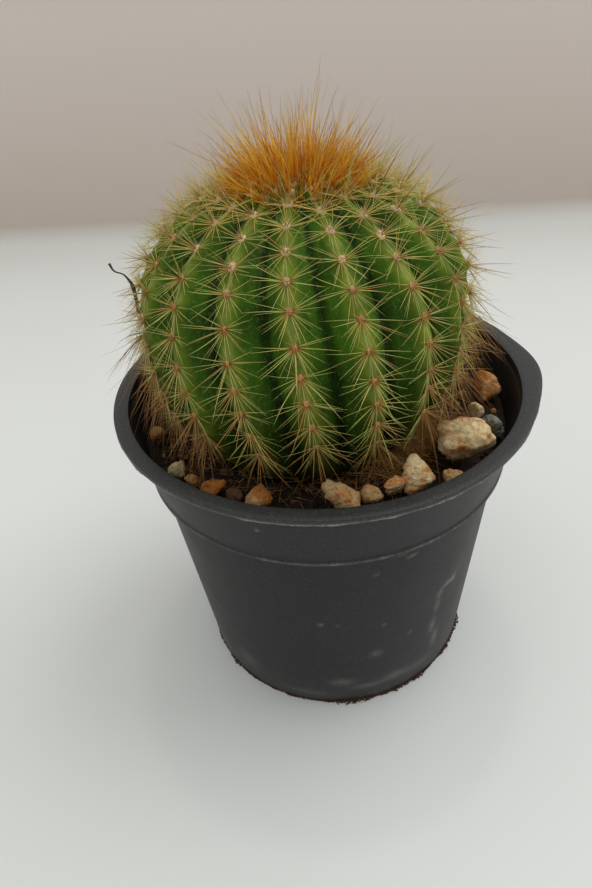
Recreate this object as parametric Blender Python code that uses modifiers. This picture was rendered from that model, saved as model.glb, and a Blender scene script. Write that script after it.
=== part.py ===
"""A round, ribbed cactus growing in a small moulded nursery pot, with grit stones on its soil.

Metres, +Z up. The origin is the centre of the pot's flat underside, on the surface that the
pot stands on. Azimuth 0 faces -Y and grows towards +X.
"""

import math
import random

import bmesh
import bpy
from mathutils import Matrix, Vector, noise

MM = 0.001
CLEARANCE = 0.3 * MM  # gap kept between pieces that touch

# Pot: a turned, moulded shell
POT_HEIGHT = 72.0 * MM
RIM_RADIUS = 45.0 * MM
RIM_WIDTH = 3.2 * MM
LIP_HEIGHT = 1.1 * MM  # thin edge of the rim, standing proud of the skirt
LIP_OVERHANG = 1.5 * MM
EDGE_ROUND = 0.35 * MM
SKIRT_HEIGHT = 15.2 * MM  # underside of the rim to the step
SKIRT_TAPER = 3.6 * MM
STEP_WIDTH = 1.3 * MM  # how far the body stands in from the skirt
STEP_BEAD = 0.25 * MM  # thin raised line that ends the skirt
BODY_TAPER = 5.2 * MM
WALL = 1.5 * MM
FLOOR = 1.8 * MM
LEDGE_DROP = 2.2 * MM  # inner line below the rim
LEDGE_WIDTH = 0.4 * MM
DRAIN_HOLES = 6
DRAIN_HOLE_RADIUS = 3.5 * MM
DRAIN_HOLE_MARGIN = 9.0 * MM  # from the foot's edge to the middle of a hole
POT_STEPS = 42

# Soil
SOIL_BELOW_RIM = 9.0 * MM
SOIL_UNEVENNESS = 0.6 * MM
SOIL_RINGS = 4

# Stem: a globe with vertical ribs, leaning a little
STEM_X = -3.4 * MM
STEM_Y = -1.8 * MM
STEM_RADIUS = 32.3 * MM
STEM_RISE = 27.7 * MM  # soil line to the widest level
STEM_UPPER = 23.7 * MM
STEM_LOWER = 37.2 * MM
STEM_FULLNESS = 2.1  # 2 is an ellipse, more is boxier
LEAN_X = 0.025
LEAN_Y = 0.066
RIB_COUNT = 17
RIB_DEPTH = 4.4 * MM
RIB_PHASE = math.radians(-0.9)
RIB_TWIST = math.radians(-270.0)  # per metre of height
RIB_FADE = 9.0 * MM  # height above the soil line over which the ribs deepen
STEM_RINGS = 17
STEPS_PER_RIB = 4

# Areoles and their spines, in a row down each rib
AREOLE_SPACING = 5.0 * MM
AREOLE_STAGGER = 0.5  # share of a spacing that every other rib's row is shifted down
AREOLE_RADIUS = 0.75 * MM
AREOLE_LENGTH = 1.7 * MM
LINK_RADIUS = 0.22 * MM
FIRST_AREOLE = 14.4 * MM  # distance of the highest areole from the stem's axis
LAST_AREOLE_RISE = 12.0 * MM  # height of the lowest areole above the soil line
SPINE_LENGTH = 7.5 * MM
SPINE_SHARE = 0.44  # of the way to the next rib that a spine may reach
SPINE_FLOOR = 8.0 * MM  # height above the soil line that the lowest spines end at

# Woolly crown with its tuft of long spines
CROWN_RADIUS = 9.5 * MM
CROWN_THICKNESS = 2.6 * MM
CROWN_SINK = 1.0 * MM
CROWN_SPINE_LENGTH = 14.0 * MM
CROWN_SPINE_SPREAD = 0.5  # lowest upward share of a spine's direction
CROWN_UPRIGHT = 0.35

# Grit stones: azimuth in degrees, then length round the pot as a share of the radius at their
# outer side, width across the ring and height as shares of the open ring between stem and pot,
# how far they stand in from the wall as a share of that ring, and a turn in degrees
STONES = (
    (54, 0.2808, 0.62, 0.60, 0.0, -6),
    (69, 0.1338, 0.28, 0.34, 0.02, 0),
    (78, 0.0985, 0.19, 0.24, 0.26, 12),
    (90, 0.1484, 0.30, 0.40, 0.0, 6),
    (106, 0.1706, 0.30, 0.40, 0.38, 0),
    (39.5, 0.0920, 0.22, 0.26, 0.06, 0),
    (31, 0.1649, 0.42, 0.44, 0.22, 10),
    (22, 0.1045, 0.26, 0.36, 0.38, 0),
    (14, 0.1057, 0.28, 0.34, 0.36, 8),
    (4, 0.1702, 0.46, 0.46, 0.30, -6),
    (-23, 0.1344, 0.41, 0.40, 0.32, -5),
    (-31, 0.0853, 0.28, 0.32, 0.34, 10),
    (-38.5, 0.1246, 0.42, 0.42, 0.18, 8),
    (-48, 0.0696, 0.24, 0.32, 0.26, 0),
    (-55.5, 0.0946, 0.34, 0.40, 0.10, 10),
)
STONE_LEVEL = 6.0 * MM  # height above the soil line where the ring's room is taken
BACK_STONES = 8
BACK_STONES_START = 138.0  # degrees
BACK_STONES_END = 282.0
STONE_ROUGHNESS = 0.16
STONE_DETAIL = 2

# Dried strand of old root caught in the spines, on a meridian between two ribs
STRAND_AZIMUTH = math.radians(-75.2)
STRAND_PATH = (  # outwards from the crests, and up from the widest level, in mm
    (0.5, 3.3), (0.6, 4.6), (0.9, 5.9), (1.8, 8.0), (2.8, 9.3), (4.6, 10.8), (6.7, 11.7), (8.5, 13.2),
)
STRAND_RADII = (0.2, 0.3, 0.5, 0.42, 0.24, 0.22, 0.25, 0.3)  # mm
STRAND_STEPS = 3

# Worked out from the sizes above
SKIRT_TOP_RADIUS = RIM_RADIUS - LIP_OVERHANG
SKIRT_FOOT_RADIUS = SKIRT_TOP_RADIUS - SKIRT_TAPER
SKIRT_TOP = POT_HEIGHT - LIP_HEIGHT
SKIRT_FOOT = SKIRT_TOP - SKIRT_HEIGHT
BODY_TOP_RADIUS = SKIRT_FOOT_RADIUS - STEP_WIDTH
FOOT_RADIUS = BODY_TOP_RADIUS - BODY_TAPER
RIM_INNER_RADIUS = RIM_RADIUS - RIM_WIDTH
LEDGE_Z = POT_HEIGHT - LEDGE_DROP
SOIL_TOP = POT_HEIGHT - SOIL_BELOW_RIM
STEM_CENTRE_Z = SOIL_TOP + STEM_RISE
RIB_PITCH = 2.0 * math.pi / RIB_COUNT


def clear_scene():
    for thing in list(bpy.data.objects):
        bpy.data.objects.remove(thing, do_unlink=True)


def make_collection(name):
    collection = bpy.data.collections.new(name)
    bpy.context.scene.collection.children.link(collection)
    return collection


def make_material(name, colour, roughness, metallic=0.0):
    material = bpy.data.materials.new(name)
    material.use_nodes = True
    shader = material.node_tree.nodes["Principled BSDF"]
    shader.inputs["Base Color"].default_value = (*colour, 1.0)
    shader.inputs["Roughness"].default_value = roughness
    shader.inputs["Metallic"].default_value = metallic
    material.diffuse_color = (*colour, 1.0)
    return material


def add_object(name, mesh, collection, material=None):
    thing = bpy.data.objects.new(name, mesh)
    collection.objects.link(thing)
    if material:
        mesh.materials.append(material)
    return thing


def mesh_from(bm, name):
    bmesh.ops.recalc_face_normals(bm, faces=bm.faces)
    mesh = bpy.data.meshes.new(name)
    bm.to_mesh(mesh)
    bm.free()
    mesh.shade_smooth()
    mesh.set_sharp_from_angle(angle=math.radians(35.0))
    return mesh


def turned(name, profile, collection, material, steps):
    """A solid turned about +Z from (radius, height) points that start and end on the axis."""
    bm = bmesh.new()
    verts = [bm.verts.new((radius, 0.0, height)) for radius, height in profile]
    for upper, lower in zip(verts, verts[1:]):
        bm.edges.new((upper, lower))
    mesh = bpy.data.meshes.new(name)
    bm.to_mesh(mesh)
    bm.free()
    thing = add_object(name, mesh, collection, material)
    screw = thing.modifiers.new("Turn", "SCREW")
    screw.axis = "Z"
    screw.steps = steps
    screw.render_steps = steps
    screw.use_merge_vertices = True
    screw.merge_threshold = 0.00001
    screw.use_normal_calculate = True
    return thing


def applied(thing):
    """Applies an object's modifiers, so that its mesh can be worked on."""
    graph = bpy.context.evaluated_depsgraph_get()
    mesh = bpy.data.meshes.new_from_object(thing.evaluated_get(graph))
    thing.modifiers.clear()
    thing.data = mesh
    return thing


def cut(thing, cutter):
    cutter.hide_render = True
    cutter.display_type = "WIRE"
    boolean = thing.modifiers.new("Cut " + cutter.name, "BOOLEAN")
    boolean.operation = "DIFFERENCE"
    boolean.solver = "EXACT"
    boolean.object = cutter


# ---------------------------------------------------------------- pot


def wall_radius(z):
    """Inner radius of the pot at a height."""
    step_z = SKIRT_FOOT + WALL
    body_radius = FOOT_RADIUS - WALL + BODY_TAPER * z / SKIRT_FOOT
    skirt_radius = SKIRT_FOOT_RADIUS - WALL + (SKIRT_TAPER - LEDGE_WIDTH) * (z - step_z) / (
        LEDGE_Z - step_z
    )
    return skirt_radius if z >= step_z else body_radius


def build_pot(collection, cutters, material):
    step_z = SKIRT_FOOT + WALL
    profile = [
        (RIM_INNER_RADIUS + EDGE_ROUND, POT_HEIGHT),
        (RIM_RADIUS - EDGE_ROUND, POT_HEIGHT),
        (RIM_RADIUS, POT_HEIGHT - EDGE_ROUND),
        (RIM_RADIUS, SKIRT_TOP),
        (SKIRT_TOP_RADIUS, SKIRT_TOP),
        (SKIRT_FOOT_RADIUS, SKIRT_FOOT + 3.0 * STEP_BEAD),
        (SKIRT_FOOT_RADIUS + STEP_BEAD, SKIRT_FOOT + STEP_BEAD),
        (SKIRT_FOOT_RADIUS, SKIRT_FOOT),
        (BODY_TOP_RADIUS, SKIRT_FOOT - STEP_BEAD),
        (FOOT_RADIUS, EDGE_ROUND),
        (FOOT_RADIUS - EDGE_ROUND, 0.0),
        (0.0, 0.0),
    ]
    inner = [
        (0.0, FLOOR),
        (wall_radius(FLOOR) - EDGE_ROUND, FLOOR),
        (wall_radius(FLOOR + EDGE_ROUND), FLOOR + EDGE_ROUND),
        (BODY_TOP_RADIUS - WALL, SKIRT_FOOT),
        (wall_radius(step_z), step_z),
        (wall_radius(LEDGE_Z), LEDGE_Z),
        (wall_radius(LEDGE_Z) + LEDGE_WIDTH, LEDGE_Z + LEDGE_WIDTH),
        (RIM_INNER_RADIUS, POT_HEIGHT - EDGE_ROUND),
        (RIM_INNER_RADIUS + EDGE_ROUND, POT_HEIGHT),
    ]
    pot = turned("pot", profile + inner, collection, material, POT_STEPS)
    hole_circle = FOOT_RADIUS - DRAIN_HOLE_MARGIN
    for index in range(DRAIN_HOLES):
        turn = 2.0 * math.pi * index / DRAIN_HOLES
        bm = bmesh.new()
        bmesh.ops.create_cone(
            bm,
            cap_ends=True,
            segments=12,
            radius1=DRAIN_HOLE_RADIUS,
            radius2=DRAIN_HOLE_RADIUS,
            depth=4.0 * FLOOR,
        )
        cutter = add_object(f"drain_cutter_{index + 1}", mesh_from(bm, "drain"), cutters)
        cutter.location = (hole_circle * math.sin(turn), -hole_circle * math.cos(turn), 0.0)
        cut(pot, cutter)
    return pot


# ---------------------------------------------------------------- stem


def stem_radius(z):
    """Radius of the rib crests at a height above the soil line or below it."""
    rise = z - STEM_CENTRE_Z
    reach = STEM_UPPER if rise > 0.0 else STEM_LOWER
    share = min(abs(rise) / reach, 1.0)
    return STEM_RADIUS * (1.0 - share**STEM_FULLNESS) ** (1.0 / STEM_FULLNESS)


def globe_point(elevation):
    """Radius and height of the crest curve at an elevation angle from -90 to 90 degrees."""
    power = 2.0 / STEM_FULLNESS
    reach = STEM_UPPER if elevation > 0.0 else STEM_LOWER
    radius = STEM_RADIUS * max(math.cos(elevation), 0.0) ** power
    rise = reach * math.copysign(abs(math.sin(elevation)) ** power, elevation)
    return radius, STEM_CENTRE_Z + rise


def leaned(radius, azimuth, z):
    """A point about the stem's axis, which leans above the soil line."""
    above = max(z - SOIL_TOP, 0.0)
    return Vector((
        STEM_X + LEAN_X * above + radius * math.sin(azimuth),
        STEM_Y + LEAN_Y * above - radius * math.cos(azimuth),
        z,
    ))


def rib_azimuth(index, z):
    return RIB_PHASE + index * RIB_PITCH + RIB_TWIST * (z - STEM_CENTRE_Z)


def groove(azimuth, radius, z):
    """How far the surface lies below the crests."""
    across = math.cos(0.5 * RIB_COUNT * (azimuth - rib_azimuth(0, z)))
    fade = min(max((z - SOIL_TOP) / RIB_FADE, 0.0), 1.0)
    return RIB_DEPTH * fade * (radius / STEM_RADIUS) ** 0.8 * (1.0 - abs(across) ** 0.9)


def shape_globe(bm, ribbed, grow):
    """Moves a unit sphere's points to the stem's surface, or to one that stands grow outside it."""
    for vert in bm.verts:
        elevation = math.asin(max(-1.0, min(1.0, vert.co.z)))
        radius, z = globe_point(elevation)
        azimuth = math.atan2(vert.co.x, -vert.co.y) + RIB_TWIST * (z - STEM_CENTRE_Z)
        if ribbed:
            radius -= groove(azimuth, radius, z)
        z += grow * math.sin(elevation)
        vert.co = leaned(radius + grow * math.cos(elevation), azimuth, z)


def crown_matrix(grow):
    centre = leaned(0.0, 0.0, STEM_CENTRE_Z + STEM_UPPER - CROWN_SINK)
    size = Matrix.Diagonal((CROWN_RADIUS + grow, CROWN_RADIUS + grow, CROWN_THICKNESS + grow, 1.0))
    return Matrix.Translation(centre) @ size


def build_stem(collection, cutters, material):
    bm = bmesh.new()
    bmesh.ops.create_uvsphere(
        bm, u_segments=RIB_COUNT * STEPS_PER_RIB, v_segments=STEM_RINGS, radius=1.0
    )
    first_rib = Matrix.Rotation(RIB_PHASE - math.radians(90.0), 4, "Z")
    bmesh.ops.transform(bm, matrix=first_rib, verts=bm.verts)
    shape_globe(bm, True, 0.0)
    stem = add_object("cactus_stem", mesh_from(bm, "cactus_stem"), collection, material)
    seat = bmesh.new()
    bmesh.ops.create_icosphere(seat, subdivisions=3, radius=1.0, matrix=crown_matrix(CLEARANCE))
    cut(stem, add_object("crown_seat_cutter", mesh_from(seat, "crown_seat"), cutters))
    return stem


# ---------------------------------------------------------------- soil


def build_soil(collection, cutters, material):
    step_z = SKIRT_FOOT + WALL
    outer = wall_radius(SOIL_TOP) - CLEARANCE
    profile = [(outer * ring / SOIL_RINGS, SOIL_TOP) for ring in range(SOIL_RINGS + 1)]
    profile += [
        (wall_radius(step_z) - CLEARANCE, step_z + CLEARANCE),
        (BODY_TOP_RADIUS - WALL - CLEARANCE, SKIRT_FOOT + CLEARANCE),
        (wall_radius(FLOOR) - EDGE_ROUND - CLEARANCE, FLOOR + CLEARANCE + EDGE_ROUND),
        (wall_radius(FLOOR) - 2.0 * EDGE_ROUND - CLEARANCE, FLOOR + CLEARANCE),
        (0.0, FLOOR + CLEARANCE),
    ]
    soil = applied(turned("soil", profile, collection, material, POT_STEPS))
    for vert in soil.data.vertices:
        if vert.co.z > SOIL_TOP - CLEARANCE:
            bump = 0.5 + 0.5 * noise.noise(vert.co / (9.0 * MM))
            vert.co.z -= SOIL_UNEVENNESS * min(max(bump, 0.0), 1.0)
    bm = bmesh.new()
    bmesh.ops.create_uvsphere(bm, u_segments=32, v_segments=STEM_RINGS, radius=1.0)
    shape_globe(bm, False, 1.6 * CLEARANCE)
    cut(soil, add_object("stem_hollow_cutter", mesh_from(bm, "stem_hollow"), cutters))
    return soil


# ---------------------------------------------------------------- spines


def crest_row(shift):
    """Elevations of the areoles down a crest, evenly spaced along it from a shifted start."""
    steps = 400
    row = []
    travelled = AREOLE_SPACING * (1.0 - shift)
    last = None
    for step in range(steps + 1):
        elevation = math.radians(90.0) - math.radians(150.0) * step / steps
        radius, z = globe_point(elevation)
        if z < SOIL_TOP + LAST_AREOLE_RISE:
            break
        if radius < FIRST_AREOLE:
            continue
        if last:
            travelled += math.hypot(radius - last[0], z - last[1])
        if travelled >= AREOLE_SPACING:
            row.append(elevation)
            travelled -= AREOLE_SPACING
        last = (radius, z)
    return row


def crest_frame(index, elevation):
    """Place, outward, downward and sideways directions at a point on a rib's crest."""
    small = math.radians(0.5)
    radius, z = globe_point(elevation)
    here = leaned(radius, rib_azimuth(index, z), z)
    below_radius, below_z = globe_point(elevation - small)
    below = leaned(below_radius, rib_azimuth(index, below_z), below_z)
    down = (below - here).normalized()
    azimuth = rib_azimuth(index, z)
    side = Vector((math.cos(azimuth), math.sin(azimuth), 0.0))
    side = (side - down * side.dot(down)).normalized()
    out = side.cross(down).normalized()
    if out.dot(Vector((math.sin(azimuth), -math.cos(azimuth), 0.3))) < 0.0:
        out = -out
    return here, out, down, side


def tube_mesh(name, points, radii, sides):
    """A closed tube along points, its caps welded on."""
    curve = bpy.data.curves.new(name, "CURVE")
    curve.dimensions = "3D"
    curve.bevel_depth = 1.0
    curve.bevel_resolution = sides
    curve.use_fill_caps = True
    spline = curve.splines.new("POLY")
    spline.points.add(len(points) - 1)
    for knot, point, radius in zip(spline.points, points, radii):
        knot.co = (*point, 1.0)
        knot.radius = radius
    thing = bpy.data.objects.new(name + "_guide", curve)
    bpy.context.scene.collection.objects.link(thing)
    graph = bpy.context.evaluated_depsgraph_get()
    mesh = bpy.data.meshes.new_from_object(thing.evaluated_get(graph))
    bpy.data.objects.remove(thing, do_unlink=True)
    bm = bmesh.new()
    bm.from_mesh(mesh)
    bmesh.ops.remove_doubles(bm, verts=bm.verts, dist=0.000001)
    return bm


def draw_spines(bm, tips):
    """Raises a spine from the face nearest to each root, to its tip."""
    free = {face for face in bm.faces if len(face.verts) == 4}
    for root, tip in tips:
        way = (tip - root).normalized()
        near = [f for f in free if (f.calc_center_median() - root).length < AREOLE_LENGTH]
        face = max(near, key=lambda f: f.normal.dot(way))
        free.discard(face)
        centre = bmesh.ops.poke(bm, faces=[face])["verts"][0]
        centre.co = tip


def build_rib_spines(index, row, collection, material):
    points = []
    radii = []
    tips = []
    reach = AREOLE_LENGTH / 2.0
    for elevation in row:
        here, out, down, side = crest_frame(index, elevation)
        centre = here + out * (AREOLE_RADIUS + CLEARANCE)
        points += [centre - down * reach, centre, centre + down * reach]
        radii += [LINK_RADIUS, AREOLE_RADIUS, LINK_RADIUS]
        radius, z = globe_point(elevation)
        room = SPINE_SHARE * radius * RIB_PITCH
        floor_room = z - SOIL_TOP - SPINE_FLOOR
        droop = min(max((STEM_CENTRE_Z - z) / STEM_RISE, 0.0), 1.0)
        for sign in (-1.0, 1.0):
            across = side * (0.86 * sign) + out * (0.42 - 0.2 * droop) + down * (0.4 * droop)
            across.normalize()
            slanting = side * (0.52 * sign) + out * (0.5 - 0.34 * droop) + down * (0.62 + 0.3 * droop)
            slanting.normalize()
            length = min(SPINE_LENGTH, room / 0.86, floor_room)
            tips.append((centre - down * reach * 0.5, centre + across * length))
            length = min(SPINE_LENGTH, room / 0.52, floor_room)
            tips.append((centre + down * reach * 0.5, centre + slanting * length))
    name = f"rib_spines_{index + 1:02d}"
    bm = tube_mesh(name, points, radii, 0)
    bmesh.ops.recalc_face_normals(bm, faces=bm.faces)
    draw_spines(bm, tips)
    return add_object(name, mesh_from(bm, name), collection, material)


def build_crown(collection, material):
    """The woolly cap in the stem's top, with a long spine raised from each upper facet."""
    draw = random.Random(7)
    bm = bmesh.new()
    bmesh.ops.create_icosphere(bm, subdivisions=3, radius=1.0)
    facets = [f for f in bm.faces if f.normal.z > CROWN_SPINE_SPREAD]
    facets.sort(key=lambda f: (round(f.normal.z, 4), round(f.normal.x, 4), round(f.normal.y, 4)))
    ways = [(f.normal + Vector((0.0, 0.0, CROWN_UPRIGHT))).normalized() for f in facets]
    bmesh.ops.transform(bm, matrix=crown_matrix(0.0), verts=bm.verts)
    for facet, way in zip(facets, ways):
        centre = facet.calc_center_median()
        length = CROWN_SPINE_LENGTH * draw.uniform(0.78, 1.0)
        bmesh.ops.poke(bm, faces=[facet])["verts"][0].co = centre + way * length
    mesh = mesh_from(bm, "crown_spines")
    return add_object("crown_spines", mesh, collection, material)


# ---------------------------------------------------------------- grit stones


def ring_room(azimuth):
    """Room between the rib crests and the pot's wall, along a direction from the pot's axis."""
    reach = Vector((math.sin(azimuth), -math.cos(azimuth), 0.0))
    offset = Vector((STEM_X, STEM_Y, 0.0)).dot(reach)
    return wall_radius(SOIL_TOP) - stem_radius(SOIL_TOP + STONE_LEVEL) - offset


def build_stone(number, azimuth, length, shares, inset, turn, collection, material):
    room = ring_room(azimuth)
    width, height = (share * room for share in shares)
    swing = abs(math.radians(turn))
    reach = 0.5 * (1.0 + STONE_ROUGHNESS) * (width * math.cos(swing) + length * math.sin(swing))
    distance = wall_radius(SOIL_TOP) - CLEARANCE - reach - inset * room
    bm = bmesh.new()
    bmesh.ops.create_icosphere(bm, subdivisions=STONE_DETAIL, radius=0.5)
    start = Vector((number * 3.7, number * 1.9, 0.0))
    for vert in bm.verts:
        lump = noise.noise(vert.co * 2.4 + start) + 0.4 * noise.noise(vert.co * 6.0 + start)
        vert.co *= 1.0 + STONE_ROUGHNESS * max(-1.0, min(1.0, lump))
    bmesh.ops.scale(bm, vec=(length, width, height), verts=bm.verts)
    facing = Matrix.Rotation(azimuth + math.radians(turn), 3, "Z")
    bmesh.ops.rotate(bm, matrix=facing, verts=bm.verts)
    lowest = min(vert.co.z for vert in bm.verts)
    place = Vector((
        distance * math.sin(azimuth),
        -distance * math.cos(azimuth),
        SOIL_TOP + CLEARANCE - lowest,
    ))
    bmesh.ops.translate(bm, vec=place, verts=bm.verts)
    name = f"grit_stone_{number:02d}"
    return add_object(name, mesh_from(bm, name), collection, material)


def build_stones(collection, material):
    rows = []
    for azimuth, length, width, height, inset, turn in STONES:
        azimuth = math.radians(azimuth)
        length *= wall_radius(SOIL_TOP) - inset * ring_room(azimuth)
        rows.append((azimuth, length, width, height, inset, turn))
    draw = random.Random(21)
    for index in range(BACK_STONES):
        share = index / (BACK_STONES - 1)
        azimuth = BACK_STONES_START + share * (BACK_STONES_END - BACK_STONES_START)
        azimuth = math.radians(azimuth)
        size = draw.uniform(0.27, 0.4)
        length = size * ring_room(azimuth)
        inset = draw.uniform(0.02, 0.1)
        rows.append((azimuth, length, 0.8 * size, 0.85 * size, inset, draw.uniform(0.0, 90.0)))
    for number, (azimuth, length, width, height, inset, turn) in enumerate(rows, start=1):
        build_stone(number, azimuth, length, (width, height), inset, turn, collection, material)


# ---------------------------------------------------------------- dried strand


def smooth_path(points, steps):
    """Points read from a Catmull-Rom curve through the given ones."""
    ends = [points[0] * 2.0 - points[1], *points, points[-1] * 2.0 - points[-2]]
    path = []
    for a, b, c, d in zip(ends, ends[1:], ends[2:], ends[3:]):
        for step in range(steps):
            t = step / steps
            path.append(
                0.5 * (2.0 * b + (c - a) * t + (2.0 * a - 5.0 * b + 4.0 * c - d) * t**2
                       + (3.0 * b - a - 3.0 * c + d) * t**3)
            )
    return [*path, points[-1]]


def build_strand(collection, material):
    knots = []
    for (out, rise), thickness in zip(STRAND_PATH, STRAND_RADII):
        knots.append(Vector((out * MM, rise * MM, thickness * MM)))
    path = smooth_path(knots, STRAND_STEPS)
    points = []
    for out, rise, _ in path:
        z = STEM_CENTRE_Z + rise
        points.append(leaned(stem_radius(z) + out, STRAND_AZIMUTH, z))
    bm = tube_mesh("dried_strand", points, [knot.z for knot in path], 1)
    return add_object("dried_strand", mesh_from(bm, "dried_strand"), collection, material)


def main():
    clear_scene()
    parts = make_collection("potted_round_cactus")
    cutters = make_collection("cutters")
    charcoal = make_material("charcoal_moulded_plastic", (0.035, 0.037, 0.035), 0.55)
    earth = make_material("dark_soil", (0.030, 0.017, 0.011), 0.95)
    green = make_material("green_skin", (0.060, 0.150, 0.035), 0.50)
    straw = make_material("straw_spines", (0.480, 0.330, 0.120), 0.60)
    amber = make_material("amber_spines", (0.520, 0.210, 0.030), 0.60)
    stone = make_material("cream_stone", (0.560, 0.440, 0.290), 0.85)
    bark = make_material("dried_root", (0.050, 0.035, 0.028), 0.90)
    build_pot(parts, cutters, charcoal)
    build_soil(parts, cutters, earth)
    build_stem(parts, cutters, green)
    build_crown(parts, amber)
    for index in range(RIB_COUNT):
        shift = AREOLE_STAGGER * (min(index, RIB_COUNT - index) % 2)
        build_rib_spines(index, crest_row(shift), parts, straw)
    build_stones(parts, stone)
    build_strand(parts, bark)


main()
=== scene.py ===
"""The looks of a potted round cactus, made piece by piece around its packed CAD model.

Metres, +Z up. Azimuth 0 faces -Y and grows towards +X, as in the CAD model. Each operator
makes one piece or a group of like pieces; the panel in the sidebar lists their settings.
"""

import math

import bmesh
import bpy
import numpy as np
from bpy.props import FloatProperty, FloatVectorProperty, IntProperty, PointerProperty
from mathutils import Matrix, Vector, noise


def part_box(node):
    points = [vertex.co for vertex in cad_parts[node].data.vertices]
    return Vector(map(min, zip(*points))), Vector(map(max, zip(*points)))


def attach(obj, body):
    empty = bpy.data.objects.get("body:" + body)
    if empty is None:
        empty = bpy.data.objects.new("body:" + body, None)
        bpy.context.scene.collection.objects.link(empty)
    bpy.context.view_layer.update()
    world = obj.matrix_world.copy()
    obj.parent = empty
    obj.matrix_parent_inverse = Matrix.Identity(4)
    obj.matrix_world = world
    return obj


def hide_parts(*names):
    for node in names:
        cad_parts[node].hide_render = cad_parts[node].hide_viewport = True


bl_info = {
    "name": "Potted round cactus",
    "version": (1, 0, 0),
    "blender": (4, 5, 0),
    "location": "View3D > Sidebar > Cactus",
    "description": "Makes the skin, spines, stones, soil and pot of a potted round cactus",
    "category": "Add Mesh",
}

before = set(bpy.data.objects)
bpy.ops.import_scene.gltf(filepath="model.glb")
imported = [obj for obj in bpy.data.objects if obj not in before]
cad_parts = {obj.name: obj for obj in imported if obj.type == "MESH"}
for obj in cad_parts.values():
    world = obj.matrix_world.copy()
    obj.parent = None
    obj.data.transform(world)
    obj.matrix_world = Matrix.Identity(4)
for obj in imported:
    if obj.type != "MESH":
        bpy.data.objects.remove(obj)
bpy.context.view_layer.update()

MM = 0.001
BODY = "root"
TAU = 2.0 * math.pi

# Sizes read from the packed model
POT_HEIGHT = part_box("pot")[1].z
RIM_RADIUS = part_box("pot")[1].x

# The pot's profile, as in the CAD model
RIM_WIDTH = 3.2 * MM
LIP_HEIGHT = 1.1 * MM
LIP_OVERHANG = 1.5 * MM
SKIRT_HEIGHT = 15.2 * MM
SKIRT_TAPER = 3.6 * MM
STEP_WIDTH = 1.3 * MM
STEP_BEAD = 0.25 * MM
BODY_TAPER = 5.2 * MM
WALL = 1.5 * MM
FLOOR = 1.8 * MM
LEDGE_DROP = 2.2 * MM
LEDGE_WIDTH = 0.4 * MM
DRAIN_HOLES = 6
DRAIN_HOLE_RADIUS = 3.5 * MM
DRAIN_HOLE_CIRCLE = 24.4 * MM
SKIRT_TOP_RADIUS = RIM_RADIUS - LIP_OVERHANG
SKIRT_FOOT_RADIUS = SKIRT_TOP_RADIUS - SKIRT_TAPER
SKIRT_TOP = POT_HEIGHT - LIP_HEIGHT
SKIRT_FOOT = SKIRT_TOP - SKIRT_HEIGHT
BODY_TOP_RADIUS = SKIRT_FOOT_RADIUS - STEP_WIDTH
FOOT_RADIUS = BODY_TOP_RADIUS - BODY_TAPER
RIM_INNER_RADIUS = RIM_RADIUS - RIM_WIDTH
LEDGE_Z = POT_HEIGHT - LEDGE_DROP

# The stem's shape, as in the CAD model
SOIL_TOP = POT_HEIGHT - 9.0 * MM
STEM_X = -3.4 * MM
STEM_Y = -1.8 * MM
STEM_RADIUS = 32.3 * MM
STEM_CENTRE_Z = SOIL_TOP + 27.7 * MM
STEM_UPPER = 23.7 * MM
STEM_LOWER = 37.2 * MM
STEM_FULLNESS = 2.1
LEAN_X = 0.025
LEAN_Y = 0.066
RIB_COUNT = 17
RIB_PITCH = TAU / RIB_COUNT
RIB_PHASE = math.radians(-0.9)
RIB_TWIST = math.radians(-270.0)
RIB_FADE = 9.0 * MM
AREOLE_SPACING = 5.0 * MM
# From the stem's top to each rib's first full areole, along its crest, in mm
FIRST_AREOLES = (
    13.3, 15.7, 13.2, 15.8, 13.5, 15.6, 13.1, 15.9, 13.4, 13.2, 15.7, 13.4, 15.9, 13.2, 15.6,
    14.9, 16.2,
)
# Young areoles above the first full one: how far up in mm, and on one rib of every how many
YOUNG_AREOLES = ((4.1, 1), (7.2, 1), (9.5, 2), (11.3, 3))
CROWN_TOP = STEM_CENTRE_Z + STEM_UPPER

# The dried strand's path: outwards from the crests and up from the widest level, in mm
STRAND_AZIMUTH = math.radians(-75.2)
STRAND_PATH = (
    (0.5, 3.3), (0.6, 4.6), (0.9, 5.9), (1.8, 8.0), (2.8, 9.3), (4.6, 10.8), (6.7, 11.7),
    (8.5, 13.2),
)
STRAND_RADII = (0.16, 0.26, 0.4, 0.38, 0.24, 0.16, 0.15, 0.22)

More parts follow.
